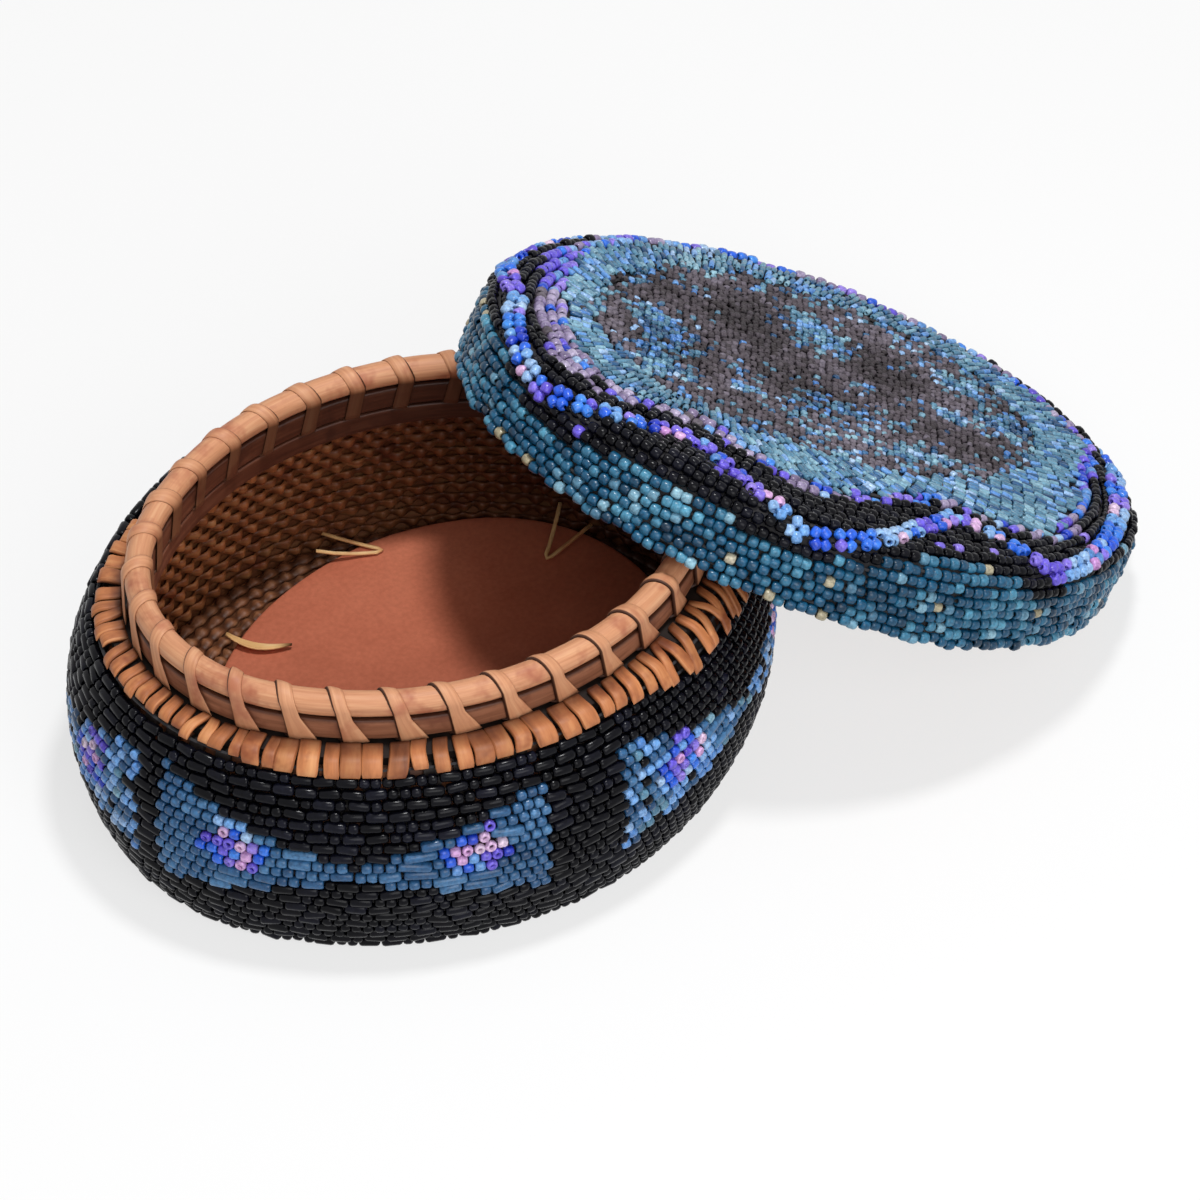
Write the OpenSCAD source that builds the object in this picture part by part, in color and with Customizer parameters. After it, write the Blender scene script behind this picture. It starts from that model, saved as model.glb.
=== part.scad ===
// Oval lidded rattan basket box with strung bead rows, lid leaning on the rim.
// Millimetres. Origin: middle of the base's underside, on the table. X: long axis of the oval. Z: up.

/* [Box body] */
// overall length of the oval at the shoulder edge
shoulder_length = 140; // [110:1:180]
// overall width of the oval at the shoulder edge
shoulder_width = 115; // [90:1:150]
// height of the shoulder above the table
shoulder_height = 51; // [40:1:70]
// how far the wall swells out beyond the shoulder edge
belly = 6.4; // [3:0.1:10]
// thickness of the base board
base_thickness = 8; // [4:0.1:14]
// height of the base hoop on which the wall stands
hoop_height = 3; // [2:0.1:6]
// thickness of the woven floor on the board
floor_thickness = 1.8; // [1.2:0.1:3]
// spacing of the rounded rows of the woven floor
floor_pitch = 2.8; // [2:0.1:4]
// thickness of the loose floor liner
liner_thickness = 1.2; // [0.8:0.1:3]
// how much smaller than the shoulder oval the liner is cut
liner_inset = 11.5; // [8:0.5:20]
// turn of the loose liner against the box
liner_turn = 28; // [-45:1:45]
// shift of the loose liner towards the lid's end
liner_shift = 4; // [-6:0.5:6]
// thickness of the woven wall
wall_thickness = 2.4; // [1.6:0.1:4]
// spacing of the weaver rows up the wall
weaver_pitch = 2.8; // [2.4:0.1:5]
// spacing of the wall stakes round the oval
stake_pitch = 6.2; // [4:0.1:10]
// width of a wall stake
stake_width = 3.4; // [2:0.1:3.9]
// thickness of a wall stake
stake_thickness = 1.2; // [0.8:0.1:2]
// depth of the rounded ridge of each weaver row
ridge = 0.8; // [0.3:0.1:1]
// length of a loose weaver tip on the floor
tip_length = 12; // [6:0.5:16]
// width of a loose weaver tip
tip_width = 4; // [2:0.1:5]
// thickness of a loose weaver tip
tip_thickness = 0.8; // [0.4:0.1:1.5]

/* [Shoulder and rim] */
// thickness of the shoulder ring
ring_thickness = 2; // [1:0.1:4]
// spacing of the folded stake ends on the shoulder
fold_pitch = 5.9; // [4.6:0.1:9]
// width of a folded stake end
fold_width = 4.3; // [2:0.1:4.4]
// thickness of a folded stake end
fold_thickness = 1.3; // [0.8:0.1:2.5]
// distance from the shoulder edge in to the outside of the rim rod
rim_inset = 6.9; // [5:0.1:12]
// diameter of the rim rod
rod_width = 5.4; // [4.6:0.1:8]
// thickness of the collar bands and of the neck hoop
band_thickness = 1.4; // [0.8:0.1:1.6]
// height of the collar bands
band_height = 5; // [4:0.1:12]
// height of the neck hoop below the collar bands
neck_height = 4.6; // [2:0.1:8]
// spacing of the lashing strips, measured at the shoulder edge
lash_pitch = 12.4; // [10:0.1:18]
// width of a lashing strip
lash_width = 4; // [2:0.1:4.5]
// thickness of a lashing strip
lash_thickness = 0.4; // [0.3:0.05:1]
// sideways slant of a lashing strip over the rim's height
lash_slant = 3; // [0:0.1:3.5]
// shift of the lashing strips round the oval, in shares of their spacing
lash_phase = -0.27; // [-0.3:0.01:0.3]

/* [Beads] */
// diameter of the glass beads
bead_diameter = 2.4; // [2:0.1:3.6]
// how far the zigzag rows reach in over the lid's top
zigzag_reach = 7.6; // [3:0.1:15]
// width of the pale ring inside the zigzag
pale_width = 10; // [5:0.1:18]
// end radius of the innermost lid row
core_radius = 6; // [4:0.1:12]

/* [Lid] */
// thickness of each of the lid's two side bands
lid_band = 1.5; // [0.8:0.1:2.5]
// thickness of the lid's side weave
lid_weave = 1.2; // [0.8:0.1:2.5]
// height of the lid's inner hoop
lid_hoop_height = 4.5; // [3:0.1:6]
// thickness of the lid's top panel
lid_panel = 1.6; // [1:0.1:3]
// rounding of the lid's top edge, outside the beads
lid_edge = 6.2; // [5:0.1:9]
// height of bare edge under the lowest lid bead row
lid_foot = 1.1; // [1:0.1:2]
// height of the side weave's lower edge above the lid's bottom
lid_weave_lift = 0.4; // [0.2:0.1:2]

/* [Lid leaning on the box] */
// lid leaning on the rim as in the photograph, or closed on the shoulder
lid_placement = "leaning"; // [leaning, closed]
// how far the lid's middle lies beyond the end of the shoulder
lean_out = 17.2; // [0:0.1:40]
// sideways shift of the lid's middle
lean_side = -1.4; // [-20:0.1:20]
// compass direction in which the lid slopes down
lean_heading = 3.6; // [-30:0.1:30]
// turn of the lid's long axis against the box's
lid_turn = -7; // [-45:0.5:45]

/* [Clearances] */
// gap between neighbouring layers of one body
layer_gap = 0.1; // [0.05:0.01:0.2]
// gap between the lashing strips and the rod
lash_gap = 0.2; // [0.2:0.05:0.6]
// room beside a lashing strip where it passes between the stake ends
lash_slot = 0.3; // [0.2:0.05:1]
// set-back of the collar bands behind the sides of the rod
band_setback = 0.3; // [0.1:0.05:0.6]
// height of the lashing strips' lower run above the shoulder
lash_lift = 0.7; // [0.4:0.1:2]
// height of the lowest bead row above the table
foot_gap = 0.2; // [0.1:0.1:2]
// gap all round between the shoulder edge and the lid's inner hoop
lid_fit = 1.2; // [0.6:0.1:3]
// room over the rim inside the closed lid
lid_headroom = 0.6; // [0.4:0.1:3]
// gap at the lid's rests on the table and on the rim
rest_gap = 0.3; // [0.1:0.05:1]

/* [Hidden] */
$fn = 48;

// the oval is four tangent arcs joined at 45 degrees, and every layer is an offset of it
half_l = shoulder_length / 2;
half_w = shoulder_width / 2;
oval_c = (half_l - half_w) / (2 - sqrt(2));
end_r = half_l - oval_c;
side_r = end_r + oval_c * sqrt(2);

// the wall is an upright arc, and its layers are concentric
bead_r = bead_diameter / 2;
row_pitch = bead_diameter + layer_gap;
arc_z = shoulder_height / 2;
arc_out = (arc_z * arc_z + belly * belly) / (2 * belly);
arc_d = belly - arc_out;
arc_bead = arc_out - bead_r;
stake_out = arc_out - bead_diameter - layer_gap;
stake_in = stake_out - stake_thickness;
wall_out = stake_in - layer_gap;
wall_in = wall_out - wall_thickness;
wall_z0 = hoop_height + layer_gap;
wall_z1 = shoulder_height - ring_thickness - layer_gap;

// offset of an upright arc layer at a height
function at_z(r, z) = arc_d + sqrt(r * r - (z - arc_z) * (z - arc_z));

hoop_out = at_z(stake_out, 0) - layer_gap;
hoop_in = at_z(wall_in, wall_z0) - layer_gap;
board_d = hoop_in - layer_gap;
floor_z = base_thickness + layer_gap;
floor_d = at_z(wall_in, min(floor_z, arc_z)) - layer_gap;
liner_z = floor_z + floor_thickness + layer_gap;
tip_z = liner_z + liner_thickness + layer_gap;

// loose weaver tips: direction from the middle, offset of the root and direction of the root
weaver_tips = [[86, -5.7, 142], [41.5, -4.5, 26], [114, -16.3, 141]];

// rim stack, from the outside in
rod_out = -rim_inset;
rod_in = rod_out - rod_width;
rod_r = rod_width / 2;
rod_mid = rod_out - rod_r;
stub_t = rod_width - 2 * (band_setback + band_thickness + layer_gap);
band_o1 = rod_out - band_setback;
band_o0 = band_o1 - band_thickness;
stub_1 = band_o0 - layer_gap;
stub_0 = stub_1 - stub_t;
band_i1 = stub_0 - layer_gap;
band_i0 = band_i1 - band_thickness;
fold_z = shoulder_height + layer_gap;
fold_top = fold_z + fold_thickness;
lash_bottom = shoulder_height + lash_lift;
band_z0 = lash_bottom + lash_thickness + layer_gap;
band_z1 = band_z0 + band_height;
// the rod lies on the inner edges of the two bands, just clear of the stake ends
rod_z = band_z1 + sqrt(pow(rod_r + layer_gap, 2) - pow(stub_t / 2 + layer_gap, 2));
rim_r = rod_r + lash_gap + lash_thickness;
rim_top = rod_z + rim_r;
neck_z1 = lash_bottom - layer_gap;
neck_z0 = neck_z1 - neck_height;
fold_d0 = rod_out + lash_gap + lash_thickness + layer_gap;

// bead rows on the wall, from the foot up
row_a0 = asin((bead_r + foot_gap - arc_z) / arc_bead);
row_a1 = asin((shoulder_height - bead_r - layer_gap - arc_z) / arc_bead);
row_step = 2 * asin(row_pitch / 2 / arc_bead);
row_n = floor((row_a1 - row_a0) / row_step) + 1;
row_da = (row_a1 - row_a0) / (row_n - 1);
// rows below and above the motif band
foot_n = 4;
top_n = 4;

// lid layers, in the lid's own frame with its bottom edge at zero
lid_in = lid_fit;
lid_weave_0 = lid_in + lid_band + layer_gap;
lid_weave_1 = lid_weave_0 + lid_weave;
skirt_0 = lid_weave_1 + layer_gap;
skirt_1 = skirt_0 + lid_band;
lid_bead_d = skirt_1 + layer_gap + bead_r;
lid_out = lid_bead_d + bead_r;
lid_seat_z = arc_z + sqrt(arc_out * arc_out - (lid_in - arc_d) * (lid_in - arc_d)) + rest_gap;
lid_hollow = rim_top + lid_headroom - lid_seat_z;
lid_h = lid_hollow + lid_panel + layer_gap + bead_diameter;
lid_row0 = lid_foot + bead_r;
path_r = lid_edge - bead_r;
path_d = lid_bead_d - path_r;
path_w = lid_h - lid_edge;
coil_r = path_r - bead_r - layer_gap;
skirt_top = path_w - coil_r - layer_gap;
path_side = path_w - lid_row0;
medallion_d = path_d - zigzag_reach - pale_width;

// bead rows of the lid as offset and height: up the side, round the edge, then in over the top
side_n = max(1, floor(path_side / row_pitch));
turn_n = max(1, floor(45 / asin(row_pitch / 2 / path_r)));
side_rows = [for (i = [0 : side_n]) [lid_bead_d, lid_row0 + path_side * i / side_n]];
turn_rows = [for (i = [1 : turn_n]) let (a = 90 * i / turn_n)
    [path_d + path_r * cos(a), path_w + path_r * sin(a)]];
function inward(d0, d1) = let (n = max(1, floor((d0 - d1) / row_pitch)))
    [for (i = [1 : n]) [d0 + (d1 - d0) * i / n, path_w + path_r]];

// how far the oval reaches along a direction, a point of it, and the offset of any point
function reach(f, d) = abs(cos(f)) >= abs(sin(f)) ? oval_c * abs(cos(f)) + end_r + d
    : side_r + d - oval_c * abs(sin(f));
function oval_at(f, d) = abs(cos(f)) >= abs(sin(f))
    ? [sign(cos(f)) * oval_c + (end_r + d) * cos(f), (end_r + d) * sin(f)]
    : [(side_r + d) * cos(f), (side_r + d) * sin(f) - sign(sin(f)) * oval_c];
function offset_of(u, v) = abs(u) - oval_c > abs(v) ? norm([abs(u) - oval_c, v]) - end_r
    : norm([u, abs(v) + oval_c]) - side_r;

// the lid leans with its low end on the table, at the least slope that clears the rim
lean_x = half_l + lean_out;
down = lean_heading - lid_turn;
function lean_z(t) = rest_gap + max(reach(down, skirt_1) * sin(t),
    reach(down, lid_bead_d) * sin(t) - lid_row0 * cos(t) + bead_r);
function in_lid(p, t) = let (q = [p[0] - lean_x, p[1] - lean_side, p[2] - lean_z(t)],
    a = q[0] * cos(lean_heading) + q[1] * sin(lean_heading),
    b = q[1] * cos(lean_heading) - q[0] * sin(lean_heading),
    c = a * cos(t) - q[2] * sin(t))
    [c * cos(down) - b * sin(down), c * sin(down) + b * cos(down), a * sin(t) + q[2] * cos(t)];
function off_box(d, w, d0, d1, w0, w1) = norm([max(d0 - d, d - d1, 0), max(w0 - w, w - w1, 0)])
    + min(0, max(d0 - d, d - d1, w0 - w, w - w1));
function off_lid(p, t) = let (q = in_lid(p, t), d = offset_of(q[0], q[1]))
    min(off_box(d, q[2], lid_in, lid_out, 0, lid_h),
        off_box(d, q[2], path_d - coil_r, lid_out, skirt_top, lid_h),
        off_box(d, q[2], -side_r, lid_out, lid_hollow, lid_h));
function clear_of(t) = min([for (f = [0 : 3 : 357]) min(
    off_lid(concat(oval_at(f, rod_mid), rod_z), t) - rim_r,
    off_lid(concat(oval_at(f, 0), fold_top), t),
    off_lid(concat(oval_at(f, belly), arc_z), t))]);
function lean_angle(lo, hi, n) = n == 0 ? hi : let (m = (lo + hi) / 2)
    clear_of(m) >= rest_gap ? lean_angle(lo, m, n - 1) : lean_angle(m, hi, n - 1);
lean_tilt = lid_placement == "closed" ? 0 : lean_angle(8, 60, 16);

// sweep of a profile of offset and height round the oval
module sweep() {
    for (half = [0, 180]) {
        rotate(half)
            translate([oval_c, 0, 0])
                rotate_extrude(angle = 90, start = -45)
                    translate([end_r, 0])
                        children();
        rotate(half)
            translate([0, -oval_c, 0])
                rotate_extrude(angle = 90, start = 45)
                    translate([side_r, 0])
                        children();
    }
}

// filled oval at an offset
module oval(d) {
    for (side = [-1, 1])
        translate([side * oval_c, 0])
            circle(r = end_r + d);
    intersection() {
        translate([0, oval_c])
            circle(r = side_r + d);
        translate([0, -oval_c])
            circle(r = side_r + d);
        square([2 * oval_c + sqrt(2) * (end_r + d), shoulder_width * 2], center = true);
    }
}

// rectangular ring between two offsets and two heights
module hoop(d0, d1, z0, z1) {
    sweep()
        translate([d0, z0])
            square([d1 - d0, z1 - z0]);
}

// upright arc band between two radii and two heights
module wall_band(r0, r1, z0, z1) {
    intersection() {
        translate([arc_d, arc_z])
            difference() {
                circle(r = r1);
                circle(r = r0);
            }
        translate([-end_r / 2, z0])
            square([end_r, z1 - z0]);
    }
}

// copies at an even pitch round the oval, each with its own arc radius and share of the turn
module around(pitch, phase = 0) {
    end_n = max(3, round(end_r * PI / 2 / pitch));
    side_n = max(3, round(side_r * PI / 2 / pitch));
    for (half = [0, 180]) {
        for (i = [0 : end_n - 1])
            rotate(half)
                translate([oval_c, 0, 0])
                    rotate(90 * (i + 0.5 + phase) / end_n - 45)
                        let ($arc = end_r, $step = 90 / end_n)
                            children();
        for (i = [0 : side_n - 1])
            rotate(half)
                translate([0, -oval_c, 0])
                    rotate(90 * (i + 0.5 + phase) / side_n + 45)
                        let ($arc = side_r, $step = 90 / side_n)
                            children();
    }
}

// strip of a profile, over a set turn about its own arc
module strip(turn) {
    rotate_extrude(angle = turn, start = -turn / 2)
        translate([$arc, 0])
            children();
}

module base_board()
    color([0.55, 0.38, 0.24])
        linear_extrude(base_thickness)
            oval(board_d);

// plate with rounded rows round its edge
module floor_weave()
    color([0.46, 0.34, 0.2]) {
        plate = floor_thickness - ridge;
        translate([0, 0, floor_z])
            linear_extrude(plate)
                oval(floor_d);
        for (i = [0 : 6])
            sweep()
                translate([floor_d - 1.5 * ridge - i * floor_pitch, floor_z + plate])
                    difference() {
                        circle(r = ridge);
                        translate([-ridge * 2, -ridge * 4])
                            square([ridge * 4, ridge * 3.5]);
                    }
    }

// panel laid in loosely, kept inside the wall
module floor_liner()
    color([0.6, 0.33, 0.24])
        translate([0, 0, liner_z])
            linear_extrude(liner_thickness)
                intersection() {
                    translate([liner_shift, 0])
                        rotate(liner_turn)
                            oval(-liner_inset);
                    oval(floor_d);
                }

module base_hoop()
    color([0.6, 0.42, 0.26])
        hoop(hoop_in, hoop_out, 0, hoop_height);

// shell with a rounded ridge inside for each weaver row
module woven_wall()
    color([0.42, 0.33, 0.19])
        sweep() {
            rows = floor((wall_z1 - wall_z0) / weaver_pitch);
            rise = wall_z1 - wall_z0;
            polygon(concat(
                [for (i = [0 : 12]) let (z = wall_z0 + rise * i / 12) [at_z(wall_out, z), z]],
                [for (i = [4 * rows : -1 : 0]) let (z = wall_z0 + rise * i / rows / 4)
                    [at_z(wall_in + ridge * (1 - abs(sin(45 * i))), z), z]]));
        }

module wall_stakes()
    color([0.7, 0.5, 0.3])
        around(stake_pitch)
            strip(stake_width / $arc * 180 / PI)
                wall_band(stake_in, stake_out, wall_z0, wall_z1);

module shoulder_ring()
    color([0.62, 0.42, 0.24])
        hoop(stub_1 + layer_gap, at_z(stake_out - layer_gap, shoulder_height),
            wall_z1 + layer_gap, shoulder_height);

// stake ends folded over the shoulder, with rounded noses over the top bead row
module shoulder_folds()
    color([0.72, 0.47, 0.25])
        around(fold_pitch)
            strip(fold_width / $arc * 180 / PI) {
                translate([fold_d0, fold_z])
                    square([-fold_d0 - fold_thickness / 2, fold_thickness]);
                translate([-fold_thickness / 2, fold_z + fold_thickness / 2])
                    circle(d = fold_thickness);
            }

module neck_hoop()
    color([0.5, 0.35, 0.2])
        hoop(band_i0, band_i1, neck_z0, neck_z1);

// upright stake ends held between the collar bands, a gap for each lashing strip
module collar_stakes()
    color([0.6, 0.42, 0.25])
        around(lash_pitch, lash_phase)
            rotate($step / 2)
                strip($step - 2 * asin((lash_width / 2 + lash_slant / 2 + lash_slot) / ($arc + stub_0)))
                    translate([stub_0, neck_z0])
                        square([stub_t, rod_z - rod_r - layer_gap - neck_z0]);

module collar_inner_band()
    color([0.5, 0.34, 0.2])
        hoop(band_i0, band_i1, band_z0, band_z1);

module collar_outer_band()
    color([0.66, 0.46, 0.28])
        hoop(band_o0, band_o1, band_z0, band_z1);

module rim_rod()
    color([0.8, 0.62, 0.42])
        sweep()
            translate([rod_mid, rod_z])
                circle(r = rod_r);

// round-topped outline of the rim at a set distance
module rim_outline(grow, z0) {
    translate([rod_mid, rod_z])
        circle(r = rod_r + grow);
    translate([rod_in - grow, z0])
        square([rod_width + 2 * grow, rod_z - z0]);
}

// slanted strips, each one loop over the rod and under both bands
module rim_lashing() {
    slope = -lash_slant / (rim_top - lash_bottom);
    color([0.78, 0.58, 0.36])
        around(lash_pitch, lash_phase)
            translate([$arc, 0, 0])
                multmatrix([[1, 0, 0, 0], [0, 1, slope, -slope * (rim_top + lash_bottom) / 2], [0, 0, 1, 0]])
                    rotate([90, 0, 0])
                        linear_extrude(lash_width, center = true)
                            difference() {
                                rim_outline(lash_gap + lash_thickness, lash_bottom);
                                rim_outline(lash_gap, lash_bottom + lash_thickness);
                            }
}

// flat pointed tips of weavers that lie loose on the floor
module weaver_ends()
    color([0.82, 0.68, 0.45])
        for (tip = weaver_tips)
            translate(concat(oval_at(tip[0], tip[1]), tip_z))
                rotate(tip[2])
                    linear_extrude(tip_thickness)
                        polygon([[0, -0.4 * tip_width], [0, 0.4 * tip_width],
                            [-0.25 * tip_length, tip_width / 2], [-tip_length, 0],
                            [-0.25 * tip_length, -tip_width / 2]]);

// bead rows on the wall from one row number to another, each row one ring
module wall_beads(first, last)
    for (i = [first : last])
        let (a = row_a0 + i * row_da)
            sweep()
                translate([arc_d + arc_bead * cos(a), arc_z + arc_bead * sin(a)])
                    circle(r = bead_r);

module foot_beads()
    color([0.05, 0.05, 0.07])
        wall_beads(0, foot_n - 1);

module motif_beads()
    color([0.1, 0.42, 0.45])
        wall_beads(foot_n, row_n - top_n - 1);

module shoulder_beads()
    color([0.06, 0.06, 0.08])
        wall_beads(row_n - top_n, row_n - 1);

// the lid's own frame, put where it leans or where it closes
module lid_frame()
    if (lid_placement == "closed")
        translate([0, 0, lid_seat_z])
            children();
    else
        translate([lean_x, lean_side, lean_z(lean_tilt)])
            rotate([0, 0, lean_heading])
                rotate([0, lean_tilt, 0])
                    rotate([0, 0, -down])
                        children();

module lid_inner_hoop()
    color([0.62, 0.43, 0.26])
        lid_frame()
            hoop(lid_in, lid_in + lid_band, 0, lid_hoop_height);

module lid_side_weave()
    color([0.45, 0.35, 0.2])
        lid_frame()
            hoop(lid_weave_0, lid_weave_1, lid_weave_lift, skirt_top);

module lid_skirt_band()
    color([0.6, 0.42, 0.26])
        lid_frame()
            hoop(skirt_0, skirt_1, 0, skirt_top);

module lid_edge_coil()
    color([0.6, 0.44, 0.28])
        lid_frame()
            sweep()
                translate([path_d, path_w])
                    circle(r = coil_r);

module lid_top_panel()
    color([0.5, 0.38, 0.22])
        lid_frame()
            translate([0, 0, lid_hollow])
                linear_extrude(lid_panel)
                    oval(path_d - coil_r - layer_gap);

// bead rows on the lid, each row one ring
module lid_beads(rows)
    for (row = rows)
        sweep()
            translate(row)
                circle(r = bead_r);

module lid_skirt_beads()
    color([0.1, 0.4, 0.42])
        lid_frame()
            lid_beads(side_rows);

module lid_zigzag_beads()
    color([0.08, 0.08, 0.12])
        lid_frame()
            lid_beads(concat(turn_rows, inward(path_d, path_d - zigzag_reach)));

module lid_top_beads()
    color([0.25, 0.6, 0.6])
        lid_frame()
            lid_beads(inward(path_d - zigzag_reach, medallion_d));

// inner rows and the filled middle
module lid_medallion_beads()
    color([0.5, 0.46, 0.42])
        lid_frame() {
            lid_beads(inward(medallion_d, core_radius - end_r));
            translate([0, 0, path_w + path_r - bead_r])
                linear_extrude(bead_diameter)
                    oval(core_radius - end_r - bead_r - layer_gap);
        }

base_board();
floor_weave();
floor_liner();
base_hoop();
woven_wall();
wall_stakes();
weaver_ends();
shoulder_ring();
shoulder_folds();
neck_hoop();
collar_stakes();
collar_inner_band();
collar_outer_band();
rim_rod();
rim_lashing();
foot_beads();
motif_beads();
shoulder_beads();
lid_inner_hoop();
lid_side_weave();
lid_skirt_band();
lid_edge_coil();
lid_top_panel();
lid_skirt_beads();
lid_zigzag_beads();
lid_top_beads();
lid_medallion_beads();
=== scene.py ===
# Looks of the oval beaded basket box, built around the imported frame. Metres, same frame as the solids.
import math

import bmesh
import bpy
import numpy as np
from mathutils import Matrix, Vector


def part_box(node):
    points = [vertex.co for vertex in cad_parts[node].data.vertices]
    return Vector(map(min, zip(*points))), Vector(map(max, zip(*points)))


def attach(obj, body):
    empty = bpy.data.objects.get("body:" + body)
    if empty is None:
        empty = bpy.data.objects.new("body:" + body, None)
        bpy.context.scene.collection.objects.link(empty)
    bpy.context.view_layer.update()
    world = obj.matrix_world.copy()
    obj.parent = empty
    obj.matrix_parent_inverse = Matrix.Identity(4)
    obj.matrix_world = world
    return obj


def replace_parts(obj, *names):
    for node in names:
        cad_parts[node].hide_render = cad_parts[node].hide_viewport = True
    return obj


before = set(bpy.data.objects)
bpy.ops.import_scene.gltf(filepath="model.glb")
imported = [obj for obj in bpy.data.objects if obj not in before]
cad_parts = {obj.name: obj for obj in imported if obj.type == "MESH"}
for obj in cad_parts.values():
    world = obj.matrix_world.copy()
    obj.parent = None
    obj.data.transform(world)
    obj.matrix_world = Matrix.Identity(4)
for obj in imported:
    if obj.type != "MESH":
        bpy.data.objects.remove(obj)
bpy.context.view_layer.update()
draw = np.random.default_rng(11)
MM = 0.001

# Camera as fitted to the photograph: angles of view, distance, lens and the point it aims at
VIEW_AZIMUTH = math.radians(-30.6)
VIEW_ELEVATION = math.radians(43.4)
VIEW_DISTANCE = 1.5
VIEW_LENS = 219.4
AIM_RIGHT = 36.6 * MM
AIM_UP = -7.9 * MM

# Sizes that the solids share and that their boxes don't give
BEAD = 2.4 * MM
ROW_PITCH = 2.5 * MM
BEAD_PITCH = 2.42 * MM
LID_EDGE = 6.2 * MM
BAND = 1.4 * MM
LASH = 0.4 * MM
LASH_PITCH = 12.4 * MM
LASH_PHASE = -0.27
LINER_INSET = 11.5 * MM
LINER_TURN = math.radians(28)
LINER_SHIFT = 4 * MM
FLOOR_PITCH = 2.8 * MM
# Loose weaver tips: direction from the middle, offset of the root, direction of the root
TIPS = ((86, -5.7 * MM, 142), (41.5, -4.5 * MM, 26), (114, -16.3 * MM, 141))
TIP_LENGTH = 12 * MM

# Stations round each kind of ring
ROD_STEPS = 420
BAND_STEPS = 300
SKIN_STEPS = 240
LINER_STEPS = 200
THREAD_STEPS = 160
EDGE_STEPS = 400
SCALLOP_STEPS = 500

# The oval is four tangent arcs joined at 45 degrees, and every layer is an offset of it
fold_low, fold_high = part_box("shoulder_folds")
HALF_L = fold_high.x
HALF_W = fold_high.y
OVAL_C = (HALF_L - HALF_W) / (2 - math.sqrt(2))
END_R = HALF_L - OVAL_C
SIDE_R = END_R + OVAL_C * math.sqrt(2)

# The wall is an upright arc, and its layers are concentric
SHOULDER_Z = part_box("shoulder_ring")[1].z
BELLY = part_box("motif_beads")[1].x - HALF_L
ARC_Z = SHOULDER_Z / 2
ARC_R = (ARC_Z**2 + BELLY**2) / (2 * BELLY)
ARC_D = BELLY - ARC_R
ARC_BEAD = ARC_R - BEAD / 2

# The rim rod
rod_low, rod_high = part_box("rim_rod")
ROD_R = (rod_high.z - rod_low.z) / 2
ROD_Z = (rod_high.z + rod_low.z) / 2
ROD_D = rod_high.x - HALF_L - ROD_R


def srgb(*rgb):
    """A colour as seen on screen, 0 to 255, as the linear colour that a shader takes."""
    scaled = [c / 255 for c in rgb]
    return tuple(c / 12.92 if c <= 0.04045 else ((c + 0.055) / 1.055) ** 2.4 for c in scaled) + (1.0,)


# Oval geometry

def knots(d):
    """Arc lengths and normal angles at the joins of the ring at offset d, from the first join round."""
    end = max(0.0, END_R + d)
    side = SIDE_R + d
    turn = math.pi / 4 if end > 0 else math.asin(min(1.0, OVAL_C / side))
    arcs = [end * 2 * turn if end else 0.0, side * (math.pi - 2 * turn)] * 2
    length = np.concatenate([[0.0], np.cumsum(arcs)])
    angle = np.array([-turn, turn, math.pi - turn, math.pi + turn, 2 * math.pi - turn])
    return length, angle


def ring_length(d):
    return knots(d)[0][-1]


def normal_angle(share, d):
    """Normal angle at a share of the way round the ring at offset d."""
    length, angle = knots(d)
    return np.interp(np.mod(share, 1.0) * length[-1], length, angle)


def oval_point(angle, d):
    c, s = np.cos(angle), np.sin(angle)
    at_end = (np.abs(c) >= np.abs(s)) & (END_R + d > 0)
    x = np.where(at_end, np.sign(c) * OVAL_C + (END_R + d) * c, (SIDE_R + d) * c)
    y = np.where(at_end, (END_R + d) * s, (SIDE_R + d) * s - np.sign(s) * OVAL_C)
    return x, y


def wall_offset(radius, z):
    return ARC_D + np.sqrt(radius**2 - (z - ARC_Z) ** 2)


def around(count):
    """Even shares of the way round, without the end that meets the start."""
    return np.linspace(0, 1, count, endpoint=False)


def full_turn(count):
    """Even angles of one turn, without the end that meets the start."""
    return np.linspace(0, 2 * math.pi, count, endpoint=False)


def smooth_noise(share, waves, amount):
    """A gentle closed wander round the ring, from a few seeded waves."""
    total = np.zeros_like(share)
    for wave in waves:
        total += np.sin(2 * math.pi * (wave * share + draw.random()))
    return amount * total / len(waves)


# Lid frame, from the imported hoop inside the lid's edge

def node_points(node):
    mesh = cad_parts[node].data
    co = np.zeros(len(mesh.vertices) * 3)
    mesh.vertices.foreach_get("co", co)
    return co.reshape(-1, 3)


def lid_frame():
    """Axes of the lid (long, short, up) in the frame, and its middle at the height of its bottom edge."""
    points = node_points("lid_inner_hoop")
    _, found = np.linalg.eigh(np.cov((points - points.mean(0)).T))
    up = found[:, 0] * np.sign(found[2, 0])
    along = found[:, 2] * np.sign(found[0, 2])
    axes = np.stack([along, np.cross(up, along), up], 1)
    turned = points @ axes
    middle = (turned.min(0) + turned.max(0)) / 2
    middle[2] = turned[:, 2].min()
    return axes, axes @ middle


LID_AXES, LID_ORIGIN = lid_frame()


def lid_box(node):
    turned = (node_points(node) - LID_ORIGIN) @ LID_AXES
    return turned.min(0), turned.max(0)


def to_lid(points):
    return points @ LID_AXES.T + LID_ORIGIN


LID_TOP = lid_box("lid_top_beads")[1][2]
LID_ROW0 = lid_box("lid_skirt_beads")[0][2] + BEAD / 2
LID_BEAD_D = lid_box("lid_skirt_beads")[1][0] - HALF_L - BEAD / 2
PATH_R = LID_EDGE - BEAD / 2
PATH_D = LID_BEAD_D - PATH_R
PATH_W = LID_TOP - LID_EDGE
EDGE_ARC = LID_EDGE * math.pi / 2
FLAT_FROM = PATH_W + EDGE_ARC


# Materials

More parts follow.
